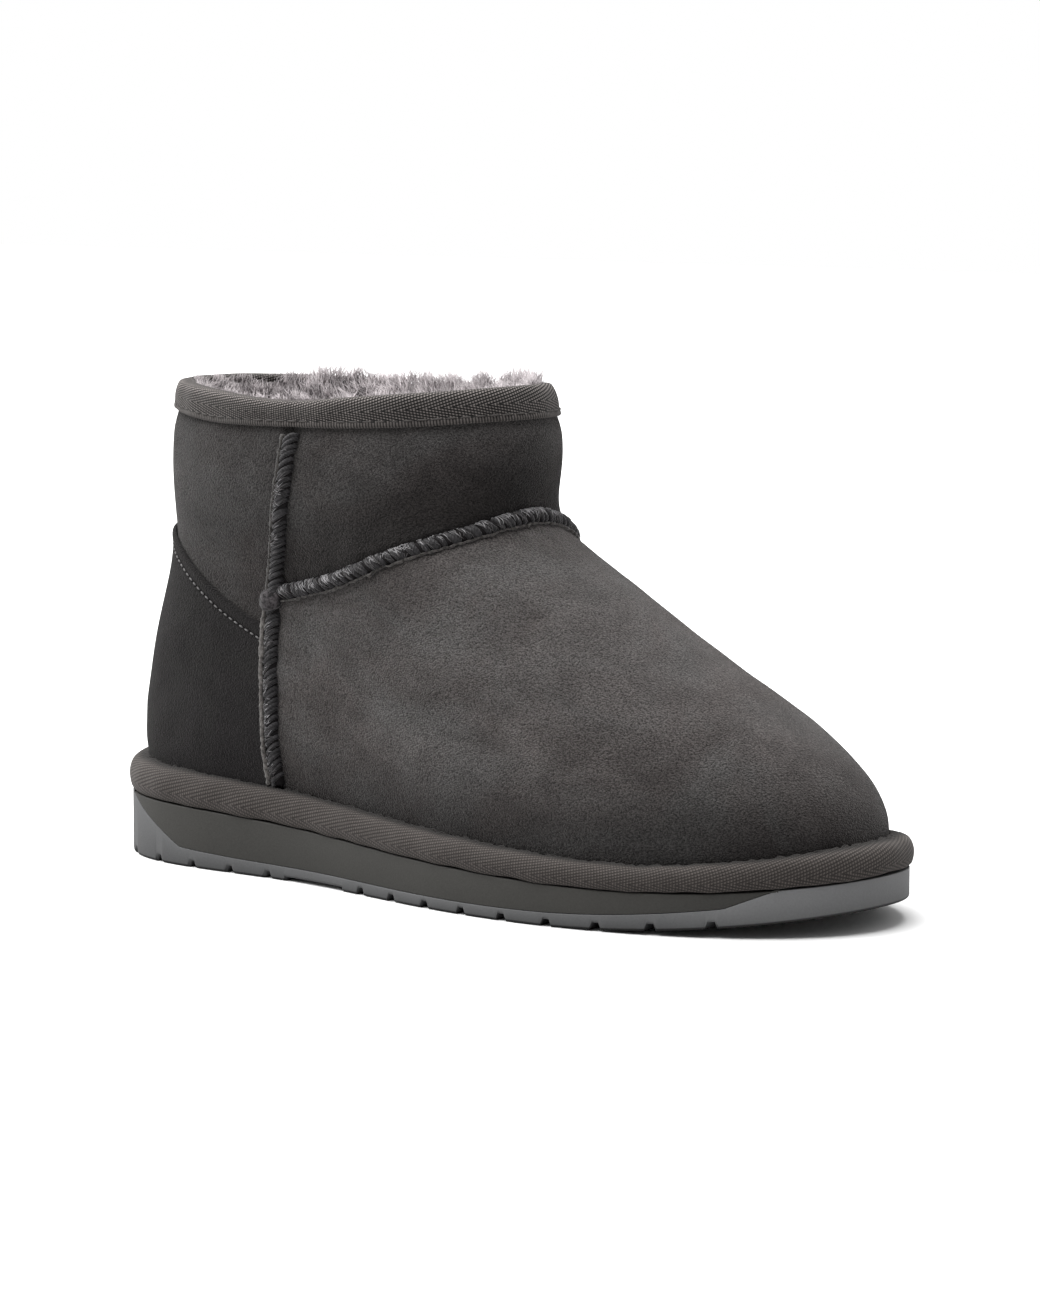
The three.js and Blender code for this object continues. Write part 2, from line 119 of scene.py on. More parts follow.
CENTRE_LINE = table("x y", (-20, 0), (0, 0), (110, -1.5), (180, 0), (234, 4), (275, 6), (295, 7))
SOLE = {"back": -3, "front": SOLE_FRONT, "heel": 72.8, "waist": 37.8, "ball": 53, "toe": 66.5, "bow": 5}
BOW_MIDDLE, BOW_SPREAD = 130, 50      # where both sides bow outwards, and over what length
SOLE_THICKNESS = table("x height", (-20, 21), (0, 20.6), (60, 18.6), (95, 16.8), (130, 15), (190, 12.8),
                       (275, 9.4), (295, 8.8))
UPPER = table("rise back front heel waist ball toe bow",
              (0.00, 7.0, 266.9, 61.0, 31.5, 46.0, 64.0, 5),
              (0.07, 4.0, 268.0, 61.8, 33.3, 47.2, 65.0, 4.7),
              (0.16, 2.9, 263.9, 64.0, 36.5, 48.8, 65.5, 3.6),
              (0.27, 4.5, 250.7, 61.0, 37.8, 46.3, 60.4, 1.9),
              (0.38, 7.8, 227.4, 59.2, 38.4, 44.2, 56.3, 0.7),
              (0.49, 11.9, 202.0, 55.2, 38.3, 42.2, 51.1, 0),
              (0.60, 15.5, 177.8, 51.5, 39.2, 41.1, 47.0, 0),
              (0.68, 16.0, 159.4, 49.7, 40.8, 40.9, 43.9, 0),
              (0.74, 15.6, 153.0, 49.2, 42.4, 41.8, 44.2, 0),
              (0.85, 14.2, 154.2, 46.2, 42.9, 41.9, 43.2, 0),
              (1.00, 16.8, 150.2, 43.2, 41.2, 40.2, 41.2, 0))
SIDE_SEAM = table("z x", (27, 76), (48, 75.2), (68, 75.2), (90, 77.4), (104, 80.8), (118, 84.3),
                  (130, 86.7), (143, 88.6))
INSTEP_SEAM = table("degrees rise", (72, 0.535), (92, 0.584), (110, 0.637), (132, 0.685), (155, 0.723),
                    (177, 0.741), (194, 0.722), (225, 0.655), (255, 0.592), (288, 0.535))

RIM_LIFT = table("x lift", (-20, 1.6), (17, 0.9), (37, 0.3), (65, -0.9), (90, -1.0), (110, 0.1),
                 (130, 1.4), (143, 2.5), (152, 3.1), (300, 3.1))
LIFT_FROM, LIFT_FULL = 0.76, 0.92     # the rises between which the rim's lift is worked in

centre_line = curve(CENTRE_LINE, "x", "y")
rim_lift = curve(RIM_LIFT, "x", "lift")
sole_thickness = curve(SOLE_THICKNESS, "x", "height")
side_seam_x = curve(SIDE_SEAM, "z", "x")
instep_rise = curve(INSTEP_SEAM, "degrees", "rise")
UPPER_CURVES = {name: curve(UPPER, "rise", name) for name in UPPER.dtype.names[1:]}
FULLNESS = [natural_spline((0, 0.33, 0.67, 1), peak) for peak in np.eye(4)]


# %% The skin of the upper
def underside(x):
    """Height of the sole's underside: on the floor, then a parabola up to the toe."""
    return TOE_SPRING * (np.clip(x - SPRING_START, 0, None) / (SOLE_FRONT - SPRING_START)) ** 2


def footbed(x):
    return underside(x) + sole_thickness(x)


def outline(row, angle, inset=0.0):
    """A level outline: x runs from back to front by half a cosine, and y stands off the centre line by
    the fullness there times the sine, and by the bow, which carries both sides outwards at the waist.
    Angle 0 is the heel's back, a quarter turn the outer side, a half turn the toe."""
    along = (1 - np.cos(angle)) / 2
    x = row["back"] + inset + (row["front"] - row["back"] - 2 * inset) * along
    places = ("heel", "waist", "ball", "toe")
    full = sum(row[place] * share(along) for place, share in zip(places, FULLNESS))
    bow = row["bow"] * np.exp(-((x - BOW_MIDDLE) / BOW_SPREAD) ** 2)
    return x, centre_line(x) - bow - (full - inset) * np.sin(angle)


def level_at(x, rise):
    """Height of the skin: in proportion between footbed and collar, with the collar's lift worked in at
    the top."""
    level = footbed(x) * (1 - rise) + COLLAR_HEIGHT * rise
    return level + rim_lift(x) * smooth(rise, LIFT_FROM, LIFT_FULL)


def skin(rise, angle):
    """The outer skin: rise 0 on the footbed and 1 at the collar."""
    x, y = outline({name: line(rise) for name, line in UPPER_CURVES.items()}, angle)
    return np.stack(np.broadcast_arrays(x, y, level_at(x, rise)), axis=-1)


def skin_normal(rise, angle):
    """Outward direction: the step around the outline crossed with the step up the skin."""
    up = skin(rise + 0.01, angle) - skin(rise - 0.01, angle)
    along = skin(rise, angle + 0.02) - skin(rise, angle - 0.02)
    return unit(np.cross(along, up))


def form(rise, angle, proud):
    """The skin moved along its normal, outwards where proud is positive."""
    return skin(rise, angle) + skin_normal(rise, angle) * np.asarray(proud, float)[..., None]


def side_seam_angle(rise):
    """The angle at which the side seam crosses each level. Its x depends on the height and the height on
    x, so a few passes settle both."""
    x = np.full(np.shape(rise), 80.0)
    for _ in range(8):
        x = side_seam_x(footbed(x) * (1 - rise) + COLLAR_HEIGHT * rise)
    back, front = UPPER_CURVES["back"](rise), UPPER_CURVES["front"](rise)
    return np.arccos(1 - 2 * (x - back) / (front - back))


# %% [markdown]
# ## From numbers to meshes
#
# Nearly every piece here is a closed band: a section that closes on itself, repeated along or around the
# boot. The section's points are the rows of a grid and its places along the boot the columns. A ring's
# columns close too, and an open band is shut at both ends by a zip of faces from one half of the section
# to the other. Stitches, loose filaments and locks of wool are copies of one small shape instead. The mesh
# is then turned right side out by the sign of its volume, which is a sum over its faces.

# %% Meshes
ROUND = np.linspace(0, 2 * np.pi, 65)[:-1]
outsole_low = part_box("outsole")[0]
origin = np.array([outsole_low.x / MM - SOLE["back"], outsole_low.y / MM - outline(SOLE, ROUND)[1].min(), 0])
print("the last's origin in the frame, mm", [round(v, 2) for v in origin])


def volume(points, faces):
    """Six times the volume: each face's fan of triangles, as triple products with the origin."""
    corners = points[faces]
    total = 0.0
    for k in range(1, faces.shape[1] - 1):
        total += np.einsum("ij,ij->", corners[:, 0], np.cross(corners[:, k], corners[:, k + 1]))
    return total


def build(name, points, faces, uv=None, marks=None, sharp=None):
    """A mesh object from points in millimetres of the last's frame, faces with equal numbers of corners,
    a pair of cloth coordinates for each corner, and named numbers for each point."""
    points = np.asarray(points, float) + origin
    mesh = bpy.data.meshes.new(name)
    if volume(points, faces) < 0:
        faces = faces[:, ::-1]
        uv = None if uv is None else uv[:, ::-1]
    mesh.vertices.add(len(points))
    mesh.vertices.foreach_set("co", (points * MM).ravel())
    mesh.loops.add(faces.size)
    mesh.loops.foreach_set("vertex_index", faces.ravel().astype(np.int32))
    mesh.polygons.add(len(faces))
    mesh.polygons.foreach_set("loop_start", np.arange(0, faces.size, faces.shape[1], dtype=np.int32))
    mesh.polygons.foreach_set("use_smooth", np.ones(len(faces), bool))
    if uv is not None:
        mesh.uv_layers.new(name="cloth").data.foreach_set("uv", uv.astype(np.float32).ravel())
    for mark, values in (marks or {}).items():
        attribute = mesh.attributes.new(mark, "FLOAT", "POINT")
        attribute.data.foreach_set("value", np.asarray(values, np.float32).ravel())
    mesh.update(calc_edges=True)
    mesh.validate()
    if sharp:
        mesh.set_sharp_from_angle(angle=math.radians(sharp))
    piece = bpy.data.objects.new(name, mesh)
    bpy.context.scene.collection.objects.link(piece)
    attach(piece, "root")
    print(f"{name}: {len(points)} points, {len(faces) * (faces.shape[1] - 2)} triangles")
    return piece


def band(name, grid, ring=True, cloth=None, marks=None, sharp=None):
    """A closed band. grid[row, column] is a point; rows go around the section, columns around or along
    the boot. cloth gives two lengths for each point, with one row and one column more where the band
    closes on itself."""
    rows, columns = grid.shape[:2]
    r, c = np.meshgrid(np.arange(rows), np.arange(columns if ring else columns - 1), indexing="ij")
    corner_row = np.stack([r, r, r + 1, r + 1], -1).reshape(-1, 4)
    corner_column = np.stack([c, c + 1, c + 1, c], -1).reshape(-1, 4)
    if not ring:
        k = np.arange(rows // 2 - 1)
        zip_rows = np.stack([k, k + 1, rows - 2 - k, rows - 1 - k], -1)
        corner_row = np.concatenate([corner_row, zip_rows, zip_rows[:, ::-1]])
        ends = [np.zeros_like(zip_rows), np.full_like(zip_rows, columns - 1)]
        corner_column = np.concatenate([corner_column, *ends])
    faces = (corner_row % rows) * columns + corner_column % columns
    uv = None
    if cloth is not None:
        uv = np.stack([part[corner_row, corner_column] for part in cloth], -1)
    marks = {name: np.broadcast_to(values, grid.shape[:2]) for name, values in (marks or {}).items()}
    return build(name, grid.reshape(-1, 3), faces, uv, marks, sharp)


def repeated(faces, count, stride):
    """The same faces on each of a number of copies of a shape that has stride points."""
    faces = np.asarray(faces)
    return (np.arange(count)[:, None, None] * stride + faces).reshape(-1, faces.shape[1])


def lengths(grid, axis=0):
    """Distance travelled over a grid, or along a path, from its first point: the steps added up."""
    steps = np.linalg.norm(np.diff(grid, axis=axis), axis=-1)
    start = np.zeros_like(np.take(steps, [0], axis=axis))
    return np.concatenate([start, np.cumsum(steps, axis=axis)], axis=axis)


def grid_normals(grid):
    """Outward directions on a grid whose columns go around in a ring: its step along the columns crossed
    with its step along the rows."""
    around = np.roll(grid, -1, 1) - np.roll(grid, 1, 1)
    return unit(np.cross(around, np.gradient(grid, axis=0)))


SWELL_WAVES = 14


def swell(points, size, seed):
    """Soft unevenness between about -1 and 1: a sum of sines whose directions and phases are drawn from a
    seed. size is the distance in millimetres from one hump to the next."""
    draw = np.random.default_rng(seed)
    heading = draw.normal(size=(3, SWELL_WAVES))
    heading *= 2 * np.pi / size / np.linalg.norm(heading, axis=0) * draw.uniform(0.7, 1.4, SWELL_WAVES)
    phase = draw.uniform(0, 2 * np.pi, SWELL_WAVES)
    return np.sin(points @ heading + phase).sum(-1) / math.sqrt(SWELL_WAVES)


# %% [markdown]
# ## Writing shaders as sums
#
# A material is a tree of nodes, and most of the tree is arithmetic: a grain here, a mask there, one over
# the other. Wiring that by hand hides the idea. The first class below wraps a socket so that an ordinary
# sum such as `1 - wear * 0.5` adds its own Math nodes. The second is a tree, for the sky or a material,
# and its one method makes every other kind of node.

# %% Shader sums
class Value:
    """What one output gives. Arithmetic on a number that varies over a surface adds Math nodes to its
    tree."""

    def __init__(self, shading, socket):
        self.shading = shading
        self.socket = socket

    def math(self, operation, *numbers):
        return self.shading.node("ShaderNodeMath", {"operation": operation}, dict(enumerate(numbers)))

    def __add__(self, other):
        return self.math("ADD", self, other)

    def __sub__(self, other):
        return self.math("SUBTRACT", self, other)

    def __rsub__(self, other):
        return self.math("SUBTRACT", other, self)

    def __mul__(self, other):
        return self.math("MULTIPLY", self, other)

    def __truediv__(self, other):
        return self.math("DIVIDE", self, other)

    def __mod__(self, other):
        return self.math("FLOORED_MODULO", self, other)

    def __abs__(self):
        return self.math("ABSOLUTE", self)

    __radd__ = __add__
    __rmul__ = __mul__

    def sine(self):
        return self.math("SINE", self)

    def between(self, start, end):
        """0 at start, 1 at end, eased at both, as in smooth() above."""
        return self.shading.node("ShaderNodeMapRange", {"interpolation_type": "SMOOTHSTEP"},
                                 {"Value": self, "From Min": start, "From Max": end})


class Shading:
    """A tree of nodes."""

    def __init__(self, tree):
        self.tree = tree

    def node(self, kind, settings=None, inputs=None, output=0):
        """Add a node: its settings first, then each socket's value or link, and give back one output."""
        node = self.tree.nodes.new(kind)
        for setting, value in (settings or {}).items():
            setattr(node, setting, value)
        for socket, value in (inputs or {}).items():
            if isinstance(value, Value):
                self.tree.links.new(value.socket, node.inputs[socket])
            else:
                node.inputs[socket].default_value = value
        return Value(self, node.outputs[output]) if node.outputs else None


class Finish(Shading):
    """A material with one Principled shader. Numbers that are the same all over are set on its own
    sockets."""

    def __init__(self, name, **constants):
        self.material = bpy.data.materials.new(name)
        self.material.use_nodes = True
        super().__init__(self.material.node_tree)
        self.shader = self.tree.nodes["Principled BSDF"]
        for socket, number in constants.items():
            self.shader.inputs[socket.replace("_", " ")].default_value = number

    def set(self, socket, value):
        """What changes over the surface goes into the shader's socket."""
        self.tree.links.new(value.socket, self.shader.inputs[socket])

    def place(self):
        return self.node("ShaderNodeTexCoord", output="Object")

    def cloth(self):
        """The two cloth lengths in millimetres, along and across."""
        pair = self.node("ShaderNodeUVMap", {"uv_map": "cloth"})
        split = self.node("ShaderNodeSeparateXYZ", inputs={0: pair}).socket.node
        return Value(self, split.outputs[0]), Value(self, split.outputs[1])

    def mark(self, name):
        return self.node("ShaderNodeAttribute", {"attribute_name": name}, output="Fac")

    def noise(self, size, detail, rough, stretch=None, warp=0.0):
        """Cloudy noise around 0.5 whose clouds are about size millimetres across, stretched by a scale if
        given."""
        at = self.place()
        if stretch:
            at = self.node("ShaderNodeMapping", inputs={"Vector": at, "Scale": stretch})
        return self.node("ShaderNodeTexNoise", inputs={
            "Vector": at, "Scale": 1000 / size, "Detail": detail, "Roughness": rough, "Distortion": warp})

    def blend(self, share, first, second):
        """A colour between two colours: the first where share is 0 and the second where it is 1."""
        colours = {0: share, 6: (*first, 1), 7: (*second, 1)}
        return self.node("ShaderNodeMix", {"data_type": "RGBA"}, colours, output=2)

    def tint(self, colour, light):
        """A colour made lighter or darker by a number that varies: the colour times it, as a vector."""
        return self.node("ShaderNodeVectorMath", {"operation": "SCALE"}, {0: colour, "Scale": light})

    def bump(self, height, distance, strength):
        """Relief of a given depth in millimetres where the height goes from 0 to 1."""
        return self.node("ShaderNodeBump", inputs={
            "Height": height, "Distance": distance * MM, "Strength": strength})


# %% [markdown]
# ## Camera, floor and light
#
# The boot stands on a plain white floor under large soft lights, as in a studio for catalogues. Sun lamps
# with a wide angle act as softboxes that are the same everywhere, so the floor stays evenly white to the
# horizon, and only the thin shadow under the sole shows. The camera is a long lens a little above the
# height of the collar.

# %% Camera
VIEW_AZIMUTH, VIEW_RISE = 34.83, 7.35     # degrees from the boot's outer side towards the toe, and up
VIEW_DISTANCE = 1308
VIEW_LENS = 120.3
VIEW_CENTRE = np.array([190, 0, 76.6])
VIEW_TURN = 37.3          # the aim moves this far to the camera's left, which puts the boot in the middle


def compass(azimuth, height):
    """The direction at so many degrees around from the outer side and so many above the floor."""
    a, h = math.radians(azimuth), math.radians(height)
    return np.array([math.sin(a) * math.cos(h), -math.cos(a) * math.cos(h), math.sin(h)])


rightward = compass(VIEW_AZIMUTH + 90, 0)
place = (VIEW_CENTRE + VIEW_DISTANCE * compass(VIEW_AZIMUTH, VIEW_RISE) + origin) * MM
aim = (VIEW_CENTRE - VIEW_TURN * rightward + origin) * MM
camera = bpy.data.objects.new("camera", bpy.data.cameras.new("camera"))
bpy.context.scene.collection.objects.link(camera)
camera.location = Vector(place)
camera.rotation_euler = (Vector(aim) - Vector(place)).to_track_quat("-Z", "Y").to_euler()
camera.data.lens = VIEW_LENS
camera.data.clip_start = 0.05
bpy.context.scene.camera = camera
bpy.context.scene.view_settings.view_transform = "Standard"
print("camera at", [round(v, 3) for v in place])


# %% Lights
def softbox(name, azimuth, height, spread, strength):
    """A sun lamp that shines from one direction of the sky, its angular size wide enough for soft
    shadows."""
    data = bpy.data.lights.new(name, "SUN")
    data.energy = strength
    data.angle = math.radians(spread)
    lamp = bpy.data.objects.new(name, data)
    lamp.rotation_euler = Vector(compass(azimuth, height)).to_track_quat("Z", "Y").to_euler()
    bpy.context.scene.collection.objects.link(lamp)


softbox("overhead", azimuth=-70, height=72, spread=75, strength=6.4)
softbox("left", azimuth=-70, height=22, spread=60, strength=1.1)
softbox("right_back", azimuth=140, height=35, spread=60, strength=0.7)

# %% Sky
SKY_SEEN, SKY_LIGHT = 1.0, 0.22       # how bright the sky looks, and how strongly it lights
world = bpy.data.worlds.new("studio")
bpy.context.scene.world = world
world.use_nodes = True
world.node_tree.nodes.clear()
sky = Shading(world.node_tree)
WHITE = (1, 1, 1, 1)
seen = sky.node("ShaderNodeBackground", inputs={"Color": WHITE, "Strength": SKY_SEEN})
lit = sky.node("ShaderNodeBackground", inputs={"Color": WHITE, "Strength": SKY_LIGHT})
is_camera_ray = sky.node("ShaderNodeLightPath")
either = sky.node("ShaderNodeMixShader", inputs={0: is_camera_ray, 1: lit, 2: seen})
sky.node("ShaderNodeOutputWorld", inputs={"Surface": either})


# %% Floor
floor_finish = Finish("white_floor", Base_Color=(0.40, 0.40, 0.40, 1), Roughness=0.9, Specular_IOR_Level=0)
bright = floor_finish.node("ShaderNodeBsdfDiffuse", inputs={"Color": (0.86, 0.86, 0.86, 1)})
is_camera_ray = floor_finish.node("ShaderNodeLightPath")
grey = Value(floor_finish, floor_finish.shader.outputs[0])
seen_floor = floor_finish.node("ShaderNodeMixShader", inputs={0: is_camera_ray, 1: grey, 2: bright})
floor_end = floor_finish.tree.nodes["Material Output"].inputs["Surface"]
floor_finish.tree.links.new(seen_floor.socket, floor_end)
FLOOR = 4.0       # metres from its middle to its edges
floor_mesh = bpy.data.meshes.new("floor")
floor_corners = [(-FLOOR, -FLOOR, 0), (FLOOR, -FLOOR, 0), (FLOOR, FLOOR, 0), (-FLOOR, FLOOR, 0)]
floor_mesh.from_pydata(floor_corners, [], [(0, 1, 2, 3)])
floor_mesh.materials.append(floor_finish.material)
floor = bpy.data.objects.new("floor", floor_mesh)
bpy.context.scene.collection.objects.link(floor)

# %% [markdown]
# ## Suede
#
# Suede is the flesh side of the skin, sanded to a short nap. Up close it is pebbly, at about half a
# millimetre, with finer fibres between. From further off the nap lies in strokes and brushed patches,
# lighter where it leans one way and darker where it leans the other. Its fibres catch light at a grazing
# angle, which is what sheen does. Noise of four sizes makes the colour, and the two finest of them are
# the relief as well.

# %% Suede finish
PEBBLE, FIBRE = 0.5, 0.3      # the grain of the nap
PATCH, STROKE = 42, 12        # the marks of brushing
NAP_RELIEF = 0.42


def suede(name, colour, patches, grain, nap, row=None):
    """Suede of one colour. patches, grain and nap say how strongly brushing, pebbles and fibres show. row
    is a line of needle holes: the step between them and how far they lie from the edge. The holes and a
    crease along the row are painted dark as shade, and the marks seam_shade and tone_and_shade scale the
    colour: painted shade near seams, and the panels' own tones with painted shade low on them."""
    finish = Finish(name, Roughness=0.95, Specular_IOR_Level=0.12, Sheen_Weight=nap, Sheen_Roughness=0.4,
                    Sheen_Tint=(0.88, 0.85, 0.84, 1))
    pebbles = finish.noise(PEBBLE, 1.0, 0.5, stretch=(0.85, 0.85, 1.05)).between(0.25, 0.75)
    fibres = finish.noise(FIBRE, 1.0, 0.5).between(0.25, 0.75)
    brushed = finish.noise(PATCH, 3.0, 0.55, stretch=(0.75, 0.8, 1.0), warp=1.2)
    strokes = finish.noise(STROKE, 2.0, 0.5, stretch=(0.6, 0.7, 1.0), warp=0.8)
    light = 1 + (pebbles - 0.5) * grain + (fibres - 0.5) * (grain * 0.8)
    light = light * (1 + (brushed - 0.5) * patches + (strokes - 0.5) * (patches * 0.75))
    # Painted shade: seam_shade darkens the colour near seams, and tone_and_shade holds each panel's own tone
    # with painted shade low on it.
    light = light * finish.mark("tone_and_shade") * (1 - finish.mark("seam_shade") * 0.45)
    if row:
        along, from_edge = finish.cloth()
        off_row = abs(from_edge - row[1])
        # Painted shade: the needle holes are dark, and a crease along the row is darker.
        hole_shade = (1 - off_row.between(0.1, 0.6)) * (1 - abs((along / row[0]) % 1 - 0.5).between(0.06, 0.2))
        light = light * (1 - hole_shade * 0.8) * (0.8 + off_row.between(0.2, 1.1) * 0.2)
    greyer = tuple(colour[1] * share for share in (1.05, 1.0, 0.98))
    hue = finish.blend(brushed.between(0.35, 0.65), colour, greyer)
    finish.set("Base Color", finish.tint(hue, light))
    height = pebbles * 0.75 + fibres * 0.25
    finish.set("Normal", finish.bump(height, NAP_RELIEF, 1.0))
    return finish


COUNTER_ROW = (2.5, 4.5)      # the counter's stitches: from one to the next, and from its edge
suede_finish = suede("grey_suede", (0.0685, 0.0612, 0.0592), patches=1.15, grain=0.84, nap=0.14)
counter_finish = suede("dark_suede", (0.0172, 0.0156, 0.0162), patches=0.7, grain=0.4, nap=0.07,
                       row=COUNTER_ROW)


# %% Foam, tape, thread and fleece finishes
def foam(name, colour, fine):
    """Moulded foam: a fine matt skin, a little cloudy, slightly rubbed. A mark darkens it with painted
    contact shade near the floor and paints light towards the toe.
    """
    finish = Finish(name, Roughness=0.62, Specular_IOR_Level=0.3)
    grain = finish.noise(0.6, 2.0, 0.6)
    cloud = finish.noise(25, 2.0, 0.5)
    light = 1 + (grain - 0.5) * fine + (cloud - 0.5) * 0.18
    finish.set("Base Color", finish.tint(colour, light * finish.mark("contact_shade_and_toe_light")))
    finish.set("Normal", finish.bump(grain, 0.12, 0.5))
    return finish


light_foam = foam("light_foam", (0.118, 0.119, 0.121), 0.25)
dark_foam = foam("dark_foam", (0.046, 0.0445, 0.0405), 0.4)

RIB_STEP = 3.5        # from rib to rib along the tape
RIB_PITCH = 0.98      # from rib to rib across it
PICK = 0.93           # from one crossing thread to the next
NEEDLE_STEP = 3.65    # from one stitch hole to the next


def herringbone(name, colour, spine, edge_shade, depth, needle=None, fold=None):
    """Twill tape: ribs that lean one way below the spine and the other way above it, cut into beads by
    the crossing threads. The cloth lengths along and across the tape place them. edge_shade is painted
    shade along both edges: the height of both edges, how far below the upper one the darkening starts,
    and how dark both get. depth says how dark the tape is between its ribs. needle is a stitch row's
    height, with plain weave at the edge below it and its holes painted dark as shade, and fold is the
    height of a fold whose crest is lightened as a painted highlight."""
    finish = Finish(name, Roughness=0.85, Specular_IOR_Level=0.25, Sheen_Weight=0.12, Sheen_Roughness=0.5,
                    Sheen_Tint=(0.85, 0.82, 0.8, 1))
    along, across = finish.cloth()
    wander = finish.noise(9, 2.0, 0.5) - 0.5
    off_spine = abs(across - spine)
    phase = along / RIB_STEP - off_spine / RIB_PITCH + wander * 0.35
    rib = ((phase * (2 * math.pi)).sine() * 0.5 + 0.5).between(0.22, 0.66)
    bead = ((along / PICK + wander * 0.6) * (2 * math.pi)).sine() * 0.5 + 0.5
    yarn = finish.noise(0.7, 2.0, 0.6)
    worn = finish.noise(15, 2.0, 0.5)
    low, high, soft, dark = edge_shade
    # Painted shade along both edges, where the tape meets the skin and the sole.
    edge = (across - low).between(0, 0.9) * (high - across).between(0.3, soft)
    if needle:
        woven = across.between(needle - 0.7, needle - 0.2)
        rib = rib * woven + (1 - woven) * 0.62
    light = (1 - depth) + rib * depth * (0.1 + bead * 1.45)
    light = light * (0.6 + yarn * 0.8) * (0.8 + worn * 0.4) * (1 - (1 - edge) * dark)
    height = rib * 0.5 + bead * rib * 0.5
    if needle:
        # Painted shade: the needle holes are dark.
        hole_shade = 1 - abs((along / NEEDLE_STEP) % 1 - 0.5).between(0.1, 0.17)
        hole_shade = hole_shade * (1 - abs(across - needle).between(0.3, 0.7))
        light = light * (1 - hole_shade * 0.85)
    # Painted highlight: the fold's crest is lighter.
    if fold:
        light = light * (1.55 - abs(across - fold).between(0.4, 2.6) * 0.6)
    finish.set("Base Color", finish.tint(colour, light))
    finish.set("Normal", finish.bump(height, 0.25, 0.4 + depth * 0.5))
    return finish


def thread(name, colour):
    """Waxed sewing thread: light strands along its length and darker ones between."""
    finish = Finish(name, Roughness=0.6, Specular_IOR_Level=0.4, Sheen_Weight=0.15, Sheen_Roughness=0.4)
    along, across = finish.cloth()
    ply = ((across * 3 + along * 1.1) * (2 * math.pi)).sine() * 0.5 + 0.5
    uneven = finish.noise(1.7, 3.0, 0.6)
    finish.set("Base Color", finish.tint(colour, 0.3 + ply * 0.5 + uneven.between(0.35, 0.75) * 1.1))
    finish.set("Normal", finish.bump(ply, 0.12, 0.8))
    return finish


def fleece(name, colour):
    """Sheepskin wool: pale at the tips, darker and warmer towards the skin, each lock a little
    different."""
    finish = Finish(name, Roughness=0.9, Specular_IOR_Level=0.1, Sheen_Weight=0.2, Sheen_Roughness=0.5,
                    Sheen_Tint=(0.9, 0.86, 0.86, 1))
    tip = finish.mark("tip")
    lock = finish.mark("lock")
    cloud = finish.noise(6, 3.0, 0.6)
    light = (0.56 + tip * 0.44) * (0.8 + lock * 0.4) * (0.66 + cloud.between(0.3, 0.7) * 0.5)
    finish.set("Base Color", finish.tint(colour, light))
    return finish


wool_finish = fleece("grey_fleece", (0.52, 0.478, 0.487))
seam_thread = thread("seam_thread", (0.0195, 0.0178, 0.0195))


def plain_thread(name, colour, rough, gloss):
    """Thread so thin that one colour is enough."""
    return Finish(name, Roughness=rough, Specular_IOR_Level=gloss, Base_Color=(*colour, 1))


# Painted highlights: the filaments' pale colours, in two strengths, stand for light caught on the thread.
bright_highlight_filament = plain_thread("bright_highlight_filament", (0.42, 0.41, 0.42), 0.5, 0.4)
dim_highlight_filament = plain_thread("dim_highlight_filament", (0.12, 0.113, 0.114), 0.55, 0.4)
stitch_thread = plain_thread("stitch_thread", (0.13, 0.125, 0.125), 0.5, 0.4)
tape_thread = plain_thread("tape_thread", (0.055, 0.049, 0.046), 0.6, 0.3)


# %% [markdown]
# ## The sole
#
# The sole is two foams moulded one over the other. The light outsole is a tray that turns up at the heel
# and the toe, and the dark midsole is a wedge lying in it. Both are bands along the boot: a four-sided
# section at each place from heel to toe. Places are set close together on both sides of every groove of
# the tread, so that the grooves come out with clean walls.

# %% Sole
MIDSOLE_FLOOR = table("x height", (37, 6), (60, 4.9), (95, 4.3), (180, 4), (210, 4.7), (243, 5.7))
MIDSOLE_BACK, MIDSOLE_FRONT = 9, 257
GROOVE_WIDTH, GROOVE_FOOT, GROOVE_DEPTH = 2.0, 3.5, 2.1       # width inside, width at the floor, depth
HEEL_GROOVE, HEEL_STEP, HEEL_COUNT = 11.4, 15.6, 5            # the first one, the step to the next, how many
FOREFOOT_GROOVE, FOREFOOT_STEP, STEP_GROWTH, FOREFOOT_COUNT = 115.3, 14, 0.2, 9
ARCH_FROM, ARCH_TO, ARCH_DEPTH = 81, 107, 1.2
CONTACT_SHADE, CONTACT_SHADE_HEIGHTS = 0.12, (0.5, 1.3)       # painted contact shadow: the edge is darkest at the floor, up to these heights
# painted light: the sides grow lighter towards the toe between these places, by toe_light
TOE_LIGHT_SPAN = (215, 262)
BESIDE = 0.02             # how close to each side of the arch's steps a place lies
midsole_floor = curve(MIDSOLE_FLOOR, "x", "height")
heel_grooves = HEEL_GROOVE + HEEL_STEP * np.arange(HEEL_COUNT)
forefoot_number = np.arange(FOREFOOT_COUNT)
forefoot_grooves = FOREFOOT_GROOVE + (FOREFOOT_STEP + STEP_GROWTH * forefoot_number) * forefoot_number
grooves = np.concatenate([heel_grooves, forefoot_grooves])


def wedge_floor(x):
    """Height of the line between the foams: the midsole's floor, and past its ends straight up to the
    footbed."""
    first, last = MIDSOLE_FLOOR["x"][0], MIDSOLE_FLOOR["x"][-1]
    low_back = underside(first) + midsole_floor(first)
    low_front = underside(last) + midsole_floor(last)
    back = (first - x) / (first - MIDSOLE_BACK)
    front = (x - last) / (MIDSOLE_FRONT - last)
    height = underside(x) + midsole_floor(x)
    height = np.where(x < first, low_back + (footbed(MIDSOLE_BACK) - low_back) * back, height)
    height = np.where(x > last, low_front + (footbed(MIDSOLE_FRONT) - low_front) * front, height)
    return np.minimum(height, footbed(x) - GAP)


